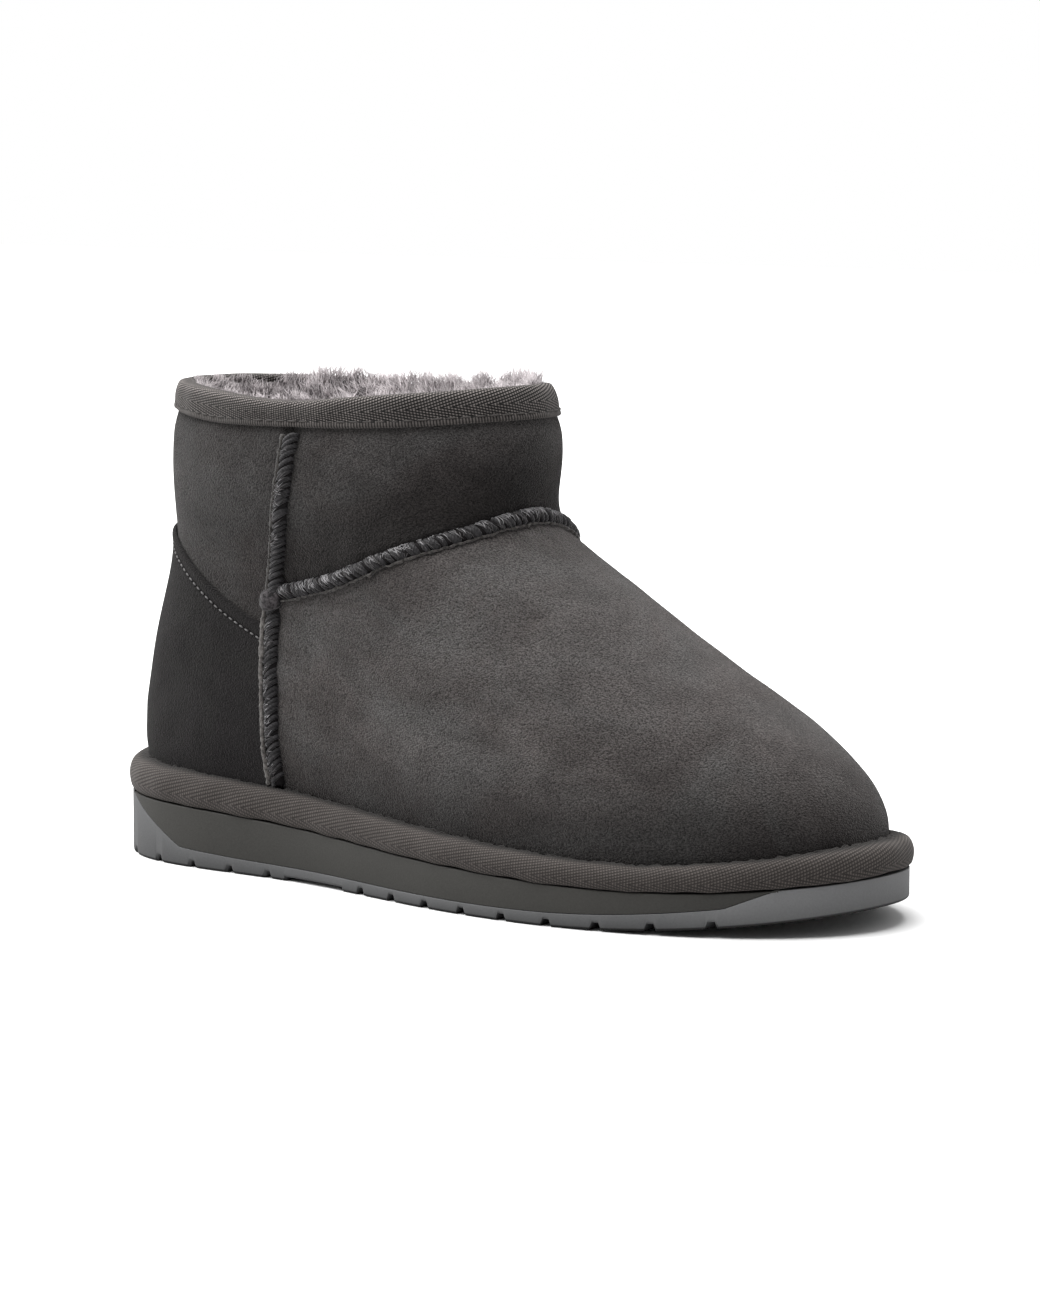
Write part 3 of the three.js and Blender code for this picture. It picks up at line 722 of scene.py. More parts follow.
def tread(x):
    """Height of the outsole's underside above its lowest line: grooves that widen downwards, and the
    raised arch."""
    off = np.abs(x[:, None] - grooves).min(axis=1)
    cut = GROOVE_DEPTH * np.clip((GROOVE_FOOT / 2 - off) / (GROOVE_FOOT - GROOVE_WIDTH) * 2, 0, 1)
    return np.where((x > ARCH_FROM) & (x < ARCH_TO), np.maximum(cut, ARCH_DEPTH), cut)


def sole_angle(x):
    return np.arccos(np.clip(1 - 2 * (x - SOLE["back"]) / (SOLE["front"] - SOLE["back"]), -1, 1))


def sole_band(name, angle, low, high, rounded_low, rounded_high, toe_light, cut=0.0):
    """A slab of the sole. At each angle, its section goes across the bottom from the inner to the outer
    side, up, and back over the top. Corners are rounded by rings set in from the outline by a quarter
    circle."""
    turn = np.linspace(0, np.pi / 2, 5)
    inset = [*(rounded_low * (1 - np.sin(turn))), *(rounded_high * (1 - np.cos(turn)))]
    lift = [*(rounded_low * (1 - np.cos(turn))), *(-rounded_high * (1 - np.sin(turn)))]
    outer, inner = [], []
    for k, (step, raised) in enumerate(zip(inset, lift)):
        for side, rows in ((1, outer), (-1, inner)):
            x, y = outline(SOLE, side * angle, step)
            z = (low(x) + cut if k < len(turn) else high(x)) + raised
            rows.append(np.stack([x, y, z], -1))
    grid = np.stack(outer + inner[::-1])
    # Painted shade and light: darker near the floor as contact shadow, and lighter or darker towards the toe
    # by toe_light.
    above_floor = grid[..., 2] - underside(grid[..., 0])
    contact_shade_and_toe_light = CONTACT_SHADE + (1 - CONTACT_SHADE) * smooth(above_floor, *CONTACT_SHADE_HEIGHTS)
    contact_shade_and_toe_light = contact_shade_and_toe_light * (1 + toe_light * smooth(grid[..., 0], *TOE_LIGHT_SPAN))
    return band(name, grid, ring=False, sharp=35, marks={"contact_shade_and_toe_light": contact_shade_and_toe_light})


half_widths = np.array([-GROOVE_FOOT, -GROOVE_WIDTH, GROOVE_WIDTH, GROOVE_FOOT])[:, None] / 2
arch = np.array([ARCH_FROM, ARCH_TO])
places = np.concatenate([(grooves + half_widths).ravel(), arch - BESIDE, arch + BESIDE])
outsole_angles = np.unique(np.concatenate([np.linspace(0.02, np.pi - 0.02, 220), sole_angle(places)]))
cut = tread(outline(SOLE, outsole_angles)[0])
outsole = sole_band("tread_outsole", outsole_angles, underside, wedge_floor, rounded_low=1.0,
                    rounded_high=0.25, toe_light=0.65, cut=cut)
outsole.data.materials.append(light_foam.material)
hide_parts("outsole")

WEDGE_INSET, WEDGE_LIFT = 0.6, 0.12       # how far inside its bed each end lies, and how high its floor
wedge_ends = np.array([MIDSOLE_BACK + WEDGE_INSET, MIDSOLE_FRONT - WEDGE_INSET])
midsole_angles = np.linspace(*sole_angle(wedge_ends), 240)
midsole = sole_band("wedge_midsole", midsole_angles, lambda x: wedge_floor(x) + WEDGE_LIFT,
                    lambda x: footbed(x) - GAP, rounded_low=0.2, rounded_high=0.5, toe_light=-0.15)
midsole.data.materials.append(dark_foam.material)
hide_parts("midsole")

# %% [markdown]
# ## Suede panels
#
# The skin is cut into three panels: the vamp over the foot, and the front and back halves of the shaft.
# Each is a slab one and a half millimetres thick that follows the last. A modeller could cut one shell
# along the seams, but panels worked out one at a time can each dip towards their own seams, where the
# stitches pull them in. The soft creases of the hide are listed as troughs and ridges: a place on the
# boot's side, a lean, a length, a width and a depth.

# %% Creases
CREASES = table("side x z lean length width depth",
                (1, 118, 74, 62, 26, 9, 0.9),
                (1, 132, 60, 40, 30, 8, -0.5),
                (1, 106, 50, 25, 24, 9, 0.5),
                (1, 150, 88, -30, 26, 10, 0.5),
                (1, 100, 121, 80, 20, 9, 0.5),
                (1, 122, 116, 70, 22, 10, -0.4),
                (1, 50, 118, 86, 22, 8, 0.4),
                (1, 205, 52, -28, 24, 12, 0.4),
                (-1, 120, 70, 50, 28, 10, 0.8),
                (-1, 140, 84, -25, 24, 10, 0.5),
                (-1, 60, 112, 80, 24, 9, 0.5),
                (-1, 104, 122, 75, 20, 9, -0.4),
                (1, 30, 60, 70, 26, 12, 0.4),
                (-1, 34, 62, 75, 26, 12, 0.4))


def hide_relief(points, angle):
    """How far the hide stands out from the last: each crease is a bell across its width and along its
    length on one side of the boot, and slow unevenness covers the rest."""
    relief = 0.35 * swell(points, 46, 5) + 0.12 * swell(points, 17, 6)
    side = np.sin(angle)
    for crease in CREASES:
        lean = math.radians(crease["lean"])
        x, z = points[..., 0] - crease["x"], points[..., 2] - crease["z"]
        along = x * math.cos(lean) + z * math.sin(lean)
        across = z * math.cos(lean) - x * math.sin(lean) + 0.012 * along ** 2
        bell = np.exp(-(along / crease["length"]) ** 2 - (across / crease["width"]) ** 2)
        relief -= crease["depth"] * bell * smooth(side * crease["side"], 0.0, 0.35)
    return relief


# %% Panels
HIDE = 1.5                            # thickness of the leather
RIM_TUCK = 0.9                        # the collar's tape pulls the shaft in by this much
TUCK_FROM, TUCK_FULL = 0.885, 0.955   # between these rises
SEAM_PULL, SEAM_SHADE = 3.2, 2.6       # how far from a seam the hide dips, and how far from it painted shade reaches
PUCKER_DEPTH, PUCKER_REACH, PUCKER_SIZE = 0.30, 5, 5.5


def rim_tuck(rise):
    return RIM_TUCK * smooth(rise, TUCK_FROM, TUCK_FULL)


def panel(name, rise, angle, sewn, low_tone_and_shade, high_tone_and_shade, from_low, to_high):
    """A slab of suede from a grid of rises and angles. sewn says which of its bottom, top, first and last
    edges are seams. There the hide dips, and puckers where the stitches pull, and painted shade darkens
    it in the fold. Its colour is scaled from low_tone_and_shade to high_tone_and_shade between two
    heights above its lower edge, partly the panel's own tone and partly painted shade towards that edge,
    and it is darker towards the toe."""
    flat = skin(rise, angle)
    up = lengths(flat)
    along = lengths(flat, 1)
    distance = {"bottom": up, "top": up[-1:] - up, "first": along, "last": along[:, -1:] - along}
    relief = hide_relief(flat, angle)
    seam_shade = np.zeros(rise.shape)
    for edge, away_from in distance.items():
        if edge in sewn:
            pull = np.exp(-(away_from / SEAM_PULL) ** 2)
            relief = relief * (1 - pull) - sewn[edge] * pull
            relief += PUCKER_DEPTH * np.exp(-away_from / PUCKER_REACH) * swell(flat, PUCKER_SIZE, 11)
            seam_shade = np.maximum(seam_shade, np.exp(-(away_from / SEAM_SHADE) ** 2))
        elif edge == "bottom":
            relief = relief * smooth(away_from, 8, 16)
        elif edge == "top":
            relief = np.minimum(relief, 0) * smooth(away_from, 6, 14)
    relief = relief - rim_tuck(rise)
    tone_and_shade = low_tone_and_shade + (high_tone_and_shade - low_tone_and_shade) * smooth(up, from_low, to_high)
    tone_and_shade = tone_and_shade * (1 - 0.16 * smooth(flat[..., 0], 180, 235))
    outer = form(rise, angle, relief)
    inner = form(rise, angle, relief - HIDE)
    grid = np.concatenate([outer, inner[::-1]])
    marks = {"seam_shade": np.concatenate([seam_shade, seam_shade[::-1]]), "tone_and_shade": np.concatenate([tone_and_shade, tone_and_shade[::-1]])}
    piece = band(name, grid, ring=False, marks=marks)
    piece.data.materials.append(suede_finish.material)
    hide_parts("upper")


def across_panel(rise, share):
    """Angles of a front panel: share 0 on the outer side seam and 1 on the inner one, around by the
    toe."""
    edge = side_seam_angle(rise)
    return edge + share * (2 * np.pi - 2 * edge)


def ease(count):
    """Shares from 0 to 1 set closer together near both ends."""
    t = np.linspace(-1, 1, count)
    return (np.sign(t) * (1 - (1 - np.abs(t)) ** (4 / 3)) + 1) / 2


# Angle and rise depend on each other along a seam, so a few passes settle both.
MIDDLE_RISE, SHAFT_TOP = 0.6, 0.996
SEAM_PASSES = 12

# Each panel's two tones are partly the hide's own and partly painted shade: darker low on the vamp, and on
# the shaft's front darker all over and darkest just above the instep seam.
share, level = np.meshgrid(ease(190), ease(95))
rise = level * MIDDLE_RISE
for _ in range(SEAM_PASSES):
    angle = across_panel(rise, share)
    rise = level * instep_rise(np.degrees(angle))
panel("vamp", rise, angle, {"top": 0.6, "first": 0.5, "last": 0.5}, low_tone_and_shade=0.50, high_tone_and_shade=1.14,
      from_low=3, to_high=48)

share, level = np.meshgrid(ease(150), ease(70))
rise = MIDDLE_RISE + level * (1 - MIDDLE_RISE)
for _ in range(SEAM_PASSES):
    angle = across_panel(rise, share)
    seam = instep_rise(np.degrees(angle))
    rise = seam + level * (SHAFT_TOP - seam)
panel("shaft_front", rise, angle, {"bottom": 1.0, "first": 0.5, "last": 0.5}, low_tone_and_shade=0.32, high_tone_and_shade=0.84,
      from_low=3, to_high=36)

share, rise = np.meshgrid(ease(130), ease(110) * SHAFT_TOP)
angle = (2 * share - 1) * side_seam_angle(rise)
panel("shaft_back", rise, angle, {"first": 0.5, "last": 0.5}, low_tone_and_shade=0.57, high_tone_and_shade=0.62,
      from_low=40, to_high=90)

# %% [markdown]
# ## Heel counter
#
# The counter is a patch of darker, smoother suede around the heel. Its upper edge is folded under and
# sewn down, so it is thicker there and leaves a dark line on the shaft. The patch is a slab on the same
# last, whose upper and lower limits are heights, worked back into rises.

# %% Counter
COUNTER_EDGE = table("x z", (12, 107.5), (20, 106.5), (30, 102.3), (42, 94.8), (56, 86.6), (73, 79))
COUNTER_END = 73.8        # it ends at the side seams
COUNTER_TUCK = 2.5        # and reaches this far down behind the roll
COUNTER_LEATHER = 1.1
FOLD_SWELL, ROW_DIP = 0.25, 0.35      # the folded edge is this much fuller, and the stitches pull this deep
ROLL_HEIGHT = table("x height", (-20, 11), (0, 11), (60, 10.6), (130, 9.4), (190, 7.8), (240, 7.8),
                    (275, 9.2), (295, 9.4))
counter_edge = curve(COUNTER_EDGE, "x", "z")
roll_height = curve(ROLL_HEIGHT, "x", "height")


def rise_at(x, z):
    return (z - footbed(x)) / (COLLAR_HEIGHT - footbed(x))


def counter_grid(share, level):
    """Rise and angle over the counter: the angle opens to the place where the counter meets the side
    seams. Rise and angle depend on each other, so a few passes settle both."""
    rise = np.full(share.shape, 0.3)
    for _ in range(14):
        back, front = UPPER_CURVES["back"](rise), UPPER_CURVES["front"](rise)
        end = np.arccos(1 - 2 * (COUNTER_END - back) / (front - back))
        angle = (2 * share - 1) * end
        x = back + (front - back) * (1 - np.cos(angle)) / 2
        low = footbed(x) + roll_height(x) - COUNTER_TUCK
        high = counter_edge(x)
        rise = rise_at(x, low + level * (high - low))
    return rise, angle


share, level = np.meshgrid(ease(130), 1 - (1 - np.linspace(0, 1, 84)) ** 1.35)
rise, angle = counter_grid(share, level)
flat = skin(rise, angle)
up = lengths(flat)
from_edge = up[-1:] - up
relief = hide_relief(flat, angle) * smooth(up, 6, 14)
relief = np.minimum(relief, 0.0) * smooth(from_edge, 0, 12)
fold = np.sqrt(np.clip(1 - np.clip(1 - from_edge / COUNTER_LEATHER, 0, 1) ** 2, 0, 1))
thick = COUNTER_LEATHER * (0.25 + 0.75 * fold) + FOLD_SWELL * np.exp(-((from_edge - 1.6) / 1.6) ** 2)
thick -= ROW_DIP * np.exp(-((from_edge - 4.0) / 0.8) ** 2)
outer = form(rise, angle, GAP + thick + relief)
inner = form(rise, angle, GAP + 0 * relief)
cloth = [np.concatenate([part, part[::-1], part[:1]]) for part in (lengths(flat, 1), from_edge)]
counter = band("heel_counter_patch", np.concatenate([outer, inner[::-1]]), ring=False, cloth=cloth,
               marks={"seam_shade": 0.0, "tone_and_shade": 1.0})
counter.data.materials.append(counter_finish.material)
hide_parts("heel_counter")

# %% [markdown]
# ## Foxing roll
#
# Where the upper meets the sole a cord is wrapped in herringbone tape and runs right around the boot. The
# band's section is a fat bow between the skin and the edge of the sole, made a little uneven along the
# surface's own normals. The twill could be modelled rib by rib. Here it belongs to the finish, which reads
# the tape's cloth lengths, so that its ribs turn with the roll at the heel and the toe.

# %% Foxing roll
ROLL_SECTION = table("out up", (0.0, 0.0), (0.5, -0.01), (0.84, 0.02), (0.96, 0.16), (1, 0.42),
                     (0.95, 0.68), (0.8, 0.88), (0.55, 0.98), (0.2, 1.0), (0.0, 0.96))
ROLL_OVERHANG = 1.2       # past the edge of the sole
HIDDEN_STEP = 8           # the section's last stretch, against the skin
roll_edge = {name: value + ROLL_OVERHANG for name, value in SOLE.items()}
roll_edge["back"] = SOLE["back"] - ROLL_OVERHANG
roll_edge["bow"] = SOLE["bow"]


def even_angles(edge, count):
    """Angles at equal distances around an outline."""
    fine = np.linspace(0, 2 * np.pi, 4001)
    x, y = outline(edge, fine)
    way = np.concatenate([[0], np.cumsum(np.hypot(np.diff(x), np.diff(y)))])
    return np.interp(np.arange(count) * way[-1] / count, way, fine), way[-1]


def tape_cloth(across, length, columns):
    """Cloth lengths of a tape that goes around in a ring, with a whole number of ribs."""
    ribs = round(length / RIB_STEP)
    along = np.linspace(0, ribs * RIB_STEP, columns + 1)
    return np.meshgrid(across, along, indexing="ij")[::-1]


roll_angle, roll_length = even_angles(roll_edge, 1100)
section_rows = np.arange(len(ROLL_SECTION))
fine_rows = np.linspace(0, len(ROLL_SECTION) - 1, 38)
section_out = natural_spline(section_rows, ROLL_SECTION["out"])(fine_rows)[:, None]
section_up = natural_spline(section_rows, ROLL_SECTION["up"])(fine_rows)[:, None]
full_x, full_y = outline(roll_edge, roll_angle[None, :])
height = roll_height(full_x) * section_up
inner = form(height / (COLLAR_HEIGHT - footbed(full_x)), roll_angle[None, :], 0 * height + GAP)
roll = np.stack([inner[..., 0] + (full_x - inner[..., 0]) * section_out,
                 inner[..., 1] + (full_y - inner[..., 1]) * section_out,
                 footbed(full_x) + height], -1)
across = lengths(roll[:, 300])
print("tape across the roll", round(across[-1], 1), "mm, around it", round(roll_length), "mm")

ROLL_SPINE = across[-1] * 0.46        # where the twill turns, from the lower edge
fray = 0.35 * smooth(across, across[-1] - 3.5, across[-1] - 0.5)[:, None]
uneven = fray * swell(roll, 3.2, 21) + 0.15 * swell(roll, 14, 22)
roll = roll + grid_normals(roll) * uneven[..., None]
closing = np.append(across, across[-1] + HIDDEN_STEP)
foxing = band("foxing_tape", roll, cloth=tape_cloth(closing, roll_length, len(roll_angle)))
foxing_finish = herringbone("foxing_herringbone", (0.077, 0.066, 0.0605), ROLL_SPINE,
                            edge_shade=(0.0, across[-1] - 2.2, 3.2, 0.8), depth=0.6)
foxing.data.materials.append(foxing_finish.material)
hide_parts("welt_binding")

# %% [markdown]
# ## Collar tape
#
# The same tape is folded over the cut edge of the shaft and sewn through below. Its section is a narrow
# upside-down U. The outer leg shows, the fold catches the light, and the inner leg is lost in the fleece.

# %% Collar tape
TAPE_DROP = 9.6           # the tape's lower edge is this far below the rim
TAPE_SECTION = table("proud up", (0.35, -TAPE_DROP), (1.1, -9.7), (1.5, -9.0), (1.45, -7.3), (1.75, -4.5),
                     (1.7, -1.6), (1.2, 0.3), (0.0, 1.0), (-1.7, 1.15), (-3.4, 0.9), (-4.6, 0.0),
                     (-4.9, -2.5), (-4.9, -6.0), (-3.9, -6.1), (-3.75, -3.0), (-3.5, -0.5), (-1.7, 0.05),
                     (0.1, -0.3), (0.32, -3.0), (0.35, -7.0))
TAPE_ROWS = 72
COLLAR_EDGE = {name: float(line(1.0)) for name, line in UPPER_CURVES.items()}
collar_angle, collar_length = even_angles(COLLAR_EDGE, 560)


def closed_section(section, count):
    """Even places around a closed section: its rows repeated past both ends, smoothed and measured."""
    rows = len(section)
    wrap = np.arange(-3, rows + 4)
    smoothed = [natural_spline(wrap, section[name][wrap % rows]) for name in section.dtype.names]
    fine = np.linspace(0, rows, 2001)
    points = np.stack([line(fine) for line in smoothed], -1)
    way = lengths(points)
    at = np.interp(np.arange(count) * way[-1] / count, way, fine)
    return [line(at)[:, None] for line in smoothed], way[-1]


def tape_pinch(x, up):
    """The tape is narrower over the ankle: its fold dips there and its lower edge rises. At the back its
    lower edge rises too."""
    ankle = np.exp(-((x - 84) / 24) ** 2) * (1.1 - 2.3 * smooth(up, -9, 0))
    return ankle + (0.7 + 1.6 * (1 - smooth(x, 5, 60))) * (1 - smooth(up, -9, 0))


COLLAR_RISE = COLLAR_HEIGHT - SOLE_THICKNESS["height"][1]     # from the footbed to the collar at the back
(proud, up), girth = closed_section(TAPE_SECTION, TAPE_ROWS)
rise = 1 + np.minimum(up, 0) / COLLAR_RISE
rise, proud = np.broadcast_arrays(rise + 0 * collar_angle[None, :], proud)
collar = form(rise, collar_angle[None, :], proud - RIM_TUCK)
collar[..., 2] = COLLAR_HEIGHT + rim_lift(collar[..., 0]) + up + tape_pinch(collar[..., 0], up)
outward = skin_normal(np.ones(collar_angle.shape), collar_angle)
collar += outward * (0.2 * swell(collar, 13, 24))[..., None]
across = np.arange(TAPE_ROWS + 1) * girth / TAPE_ROWS
COLLAR_SPINE = 6.6                    # where the twill turns, from the lower edge
collar_piece = band("collar_tape", collar, cloth=tape_cloth(across, collar_length, len(collar_angle)))
collar_finish = herringbone("collar_herringbone", (0.118, 0.105, 0.099), COLLAR_SPINE,
                            edge_shade=(-0.5, 40.0, 1.0, 0.58), depth=0.98, needle=3.1, fold=11.4)
collar_piece.data.materials.append(collar_finish.material)
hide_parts("collar_binding")
print("collar tape: girth", round(girth, 1), "mm, around", round(collar_length), "mm")

# %% [markdown]
# ## Whip-stitched seams
#
# The panels' edges are pinched together on the outside and wound with thread, which makes a ridge. The
# ridge's core is a tube along the seam with an oval section. Around it goes the thread, one long coil
# carried along a helix and skewed so that each turn leans as the needle pulled it. The thread is many
# filaments: a fat dark coil stands for the bundle, and short arcs of the same helix, hair-thin, for the
# filaments. Their pale colour is painted highlight, the light they catch.


# %% Tubes
def along_path(at, way, values):
    """Rows of three numbers, given at each distance along a way, read off at other distances."""
    return np.stack([np.interp(at, way, values[:, k]) for k in range(3)], -1)


def tube(name, path, normal, wide, high, count, marks=None):
    """An oval tube along a path. At each place its section lies between the surface's normal and the
    sideways direction, which is the path's direction crossed with that normal."""
    ahead = unit(np.gradient(path, axis=0))
    side = unit(np.cross(ahead, normal))
    up = np.cross(side, ahead)
    turn = np.linspace(0, 2 * np.pi, count + 1)[:-1, None, None]
    wide, high = (np.broadcast_to(size, path.shape[:1])[None, :, None] for size in (wide, high))
    grid = path + side * wide * np.cos(turn) + up * high * np.sin(turn)
    cloth = np.meshgrid(np.linspace(0, 1, count + 1), lengths(path), indexing="ij")[::-1]
    return band(name, grid, ring=False, cloth=cloth, marks=marks)


SEAM_SUNK = 0.4       # the middle of the ridge lies this far under the skin


def seam_line(rise, angle):
    """A seam every quarter of a millimetre: its path just under the skin, the skin's normal, the
    direction across the seam, and the distance along it."""
    path = form(rise, angle, np.full(rise.shape, -SEAM_SUNK))
    way = lengths(path)
    at = np.arange(0, way[-1], 0.25)
    even, out = (along_path(at, way, part) for part in (path, skin_normal(rise, angle)))
    across = unit(np.cross(np.gradient(even, axis=0), out))
    return even, out, across, at


def wind(name, line, pitch, size, strand, lean, seed, sides, loose):
    """Thread wound around a seam: a helix whose across part is skewed along the seam by lean. size is the
    coil's half width and half height and strand the thread's, and loose is how unevenly the turns lie."""
    even, out, across, at = line
    place = np.linspace(0.5, at[-1] - 0.5, int(at[-1] / pitch * 14))
    draw = np.random.default_rng(seed)
    knots = np.arange(0, at[-1] + 3 * pitch, pitch)
    wobble = np.interp(place, knots, draw.uniform(-loose, loose, len(knots))) * pitch
    swelling = 1 + np.interp(place, knots, draw.uniform(-0.06, 0.06, len(knots)))
    turn = 2 * np.pi * place / pitch
    here = np.clip(place + lean * np.cos(turn) + wobble, 0, at[-1])
    middle, up, side = (along_path(here, at, part) for part in (even, out, across))
    sideways = side * np.cos(turn)[:, None]
    upwards = up * np.sin(turn)[:, None]
    path = middle + (sideways * size[0] + upwards * size[1]) * swelling[:, None]
    return tube(name, path, sideways + upwards, strand[0], strand[1], sides)


# %% Seams
# A ridge's half width and height, the length of a stitch along it, and how far each turn leans.
SIDE_BEAD, SIDE_STITCH, SIDE_LEAN = (2.25, 2.1), 2.7, 2.3
INSTEP_BEAD, INSTEP_STITCH, INSTEP_LEAN = (2.0, 1.9), 3.0, 1.4
# In stitches, the step of a turn, the thread's half width and the step from tuft to tuft of filaments. In
# millimetres, the thread's half height and how far the filaments stand off the ridge.
TURN_STEP, STRAND_WIDE, TUFT_STEP = 0.72, 0.27, 1.35
STRAND_HIGH, TUFT_PROUD = 0.5, (0.42, 0.46)
ridge_finish = Finish("ridge_suede", Roughness=0.95, Specular_IOR_Level=0.1)
grain = ridge_finish.noise(0.8, 2.0, 0.6)
ridge_finish.set("Base Color", ridge_finish.tint((0.016, 0.0145, 0.015), 0.5 + grain))
ridge_finish.set("Normal", ridge_finish.bump(grain, 0.4, 0.8))
lip_finish = Finish("raw_suede_edge", Roughness=0.95, Specular_IOR_Level=0.1, Sheen_Weight=0.2)
grain = lip_finish.noise(1.0, 3.0, 0.65)
lip_light = (0.35 + grain.between(0.3, 0.7)) * lip_finish.mark("tone_and_shade")
lip_finish.set("Base Color", lip_finish.tint((0.086, 0.080, 0.076), lip_light))
lip_finish.set("Normal", lip_finish.bump(grain, 0.6, 1.0))


def triangle_walls(rings):
    """Faces of a three-sided tube between each of its rings and the next."""
    faces = []
    for ring in range(rings - 1):
        for k in range(3):
            here, after = ring * 3 + k, ring * 3 + (k + 1) % 3
            faces += [(here, after, after + 3), (here, after + 3, here + 3)]
    return faces


def filaments(name, line, pitch, size, lean, seed, finish, per_mm, facing, thick, longest):
    """Loose filaments of the thread: short arcs of the same helix, drawn in groups. facing is the range
    of angles around the ridge where they lie, thick the range of half widths, and longest says how far
    the longest of them reaches around. Each is a three-sided tube of five rings that thins to both
    ends."""
    even, out, across, at = line
    draw = np.random.default_rng(seed)
    count = int(at[-1] * per_mm)
    turns = np.arange(pitch, at[-1] - pitch, pitch)
    weight = draw.uniform(0.03, 1, len(turns)) ** 1.6
    group = draw.choice(len(turns), count, p=weight / weight.sum())
    place = (turns + draw.normal(0, 0.22 * pitch, len(turns)))[group] + draw.normal(0, 0.26 * pitch, count)
    centre = draw.uniform(*facing, count)
    reach = draw.uniform(0.25, 1, count) * longest
    t = np.linspace(0, 1, 5)
    turn = centre[:, None] + reach[:, None] * (t - 0.5) * 1.6
    here = place[:, None] + lean * np.cos(turn) + draw.normal(0, 0.9, (count, 1)) * (t - 0.5)
    loose = 1 + draw.uniform(0.0, 0.13, (count, 1)) * np.sin(np.pi * t)
    here = np.clip(here, 0, at[-1])
    middle, up, side = (along_path(here, at, part) for part in (even, out, across))
    away = side * np.cos(turn)[..., None] + up * np.sin(turn)[..., None]
    path = middle + (side * (np.cos(turn) * size[0] * loose)[..., None]
                     + up * (np.sin(turn) * size[1] * loose)[..., None])
    ahead = np.cross(up, side)
    thin = draw.uniform(*thick, (count, 1)) * np.sqrt(1.06 - (2 * t - 1) ** 2)
    corner = np.arange(3) * 2 * np.pi / 3 + 0.5
    ring = away[:, :, None] * np.sin(corner)[:, None] + ahead[:, :, None] * np.cos(corner)[:, None]
    points = path[:, :, None] + ring * thin[..., None, None]
    faces = [(0, 2, 1), (12, 13, 14), *triangle_walls(5)]
    piece = build(name, points.reshape(-1, 3), repeated(faces, count, 15))
    piece.data.materials.append(finish.material)
    return piece


COUNTER_TOP = (78, 92)        # the heights over which a side seam comes off the counter


def whip_seam(name, node, rise, angle, size, pitch, lean, lip, lip_tone, loose, seed):
    """A ridge, its thread, loose filaments and the raw edge of suede that shows along one side of it,
    which stand for one seam of the frame. size is the ridge's half width and height. lip is how far
    across the raw edge lies, its half width, its height and how much higher it is at the bottom, over the
    counter. loose lists the filaments: their finish, number for each millimetre, facing, thickness and
    reach."""
    line = seam_line(rise, angle)
    even, out, across, _ = line
    lip_across, lip_half, lip_height, lip_step = lip
    bead = tube(f"{name}_ridge", even[::3], out[::3], size[0], size[1], 14)
    bead.data.materials.append(ridge_finish.material)
    ruffle = swell(even, 2.7, seed + 9)[:, None]
    tall = (lip_height + lip_step * (1 - smooth(even[:, 2:], *COUNTER_TOP))) + 0.2 * ruffle
    lip_path = even + across * (lip_across + 0.3 * ruffle) + out * tall
    half = lip_half * (1 + 0.26 * swell(even, 2.2, seed + 5) + 0.2 * swell(even, 6, seed + 6))
    tone_and_shade = lip_tone(even[:, 2])[::3]
    edge = tube(f"{name}_raw_edge", lip_path[::3], out[::3], half[::3], 0.7, 8, {"tone_and_shade": tone_and_shade})
    edge.data.materials.append(lip_finish.material)
    strand = (pitch * STRAND_WIDE, STRAND_HIGH)
    bundle = wind(f"{name}_thread", line, pitch * TURN_STEP, size, strand, lean, seed, sides=8, loose=0.4)
    bundle.data.materials.append(seam_thread.material)
    pieces = [bead, edge, bundle]
    outside = (size[0] + TUFT_PROUD[0], size[1] + TUFT_PROUD[1])
    for k, kind in enumerate(loose):
        label = f"{name}_filaments_{k + 1}"
        pieces.append(filaments(label, line, pitch * TUFT_STEP, outside, lean, seed + k, *kind))
    for piece in pieces:
        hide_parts(node)


# Loose filaments: their finish, number for each millimetre, facing, thickness and reach.
SIDE_LOOSE = ((dim_highlight_filament, 2.4, (1.1, 3.4), (0.06, 0.12), 0.8),
              (bright_highlight_filament, 1.9, (1.3, 3.4), (0.05, 0.1), 0.45))
INSTEP_LOOSE = ((dim_highlight_filament, 1.6, (0.8, 3.1), (0.07, 0.12), 0.9),
                (bright_highlight_filament, 2.4, (1.6, 3.2), (0.06, 0.11), 0.8))
seam_z = np.linspace(29.5, 141, 120)
for side, name in ((1, "lateral"), (-1, "medial")):
    rise = rise_at(side_seam_x(seam_z), seam_z)
    whip_seam(f"side_seam_{name}_whip", f"side_seam_{name}", rise, side * side_seam_angle(rise), SIDE_BEAD,
              SIDE_STITCH, SIDE_LEAN * side, lip=(-2.75 * side, 0.85, 0.95, 0.95),
              lip_tone=lambda z: 1.6 - 0.85 * smooth(z, *COUNTER_TOP), loose=SIDE_LOOSE, seed=31)

INSTEP_SHY = 1.5              # degrees between the instep seam's ends and the side seams
start, end = 76.0, 284.0      # a first guess, put right by the side seams in a few passes
for _ in range(6):
    degrees = np.linspace(start, end, 220)
    rise = instep_rise(degrees)
    edge = np.degrees(side_seam_angle(rise))
    start, end = edge[0] + INSTEP_SHY, 360 - edge[-1] - INSTEP_SHY
whip_seam("instep_seam_whip", "instep_seam", rise, np.radians(degrees), INSTEP_BEAD, INSTEP_STITCH,
          INSTEP_LEAN, lip=(2.4, 0.42, 0.6, 0), lip_tone=lambda z: 1.1 + 0 * z, loose=INSTEP_LOOSE, seed=41)

# %% Knots
knot_finish = Finish("knotted_suede", Roughness=0.95, Specular_IOR_Level=0.1, Sheen_Weight=0.2)
grain = knot_finish.noise(1.4, 3.0, 0.65)
knot_light = 0.3 + grain.between(0.35, 0.65) * 2.4
knot_finish.set("Base Color", knot_finish.tint((0.033, 0.0295, 0.031), knot_light))
knot_finish.set("Normal", knot_finish.bump(grain, 0.7, 1.0))


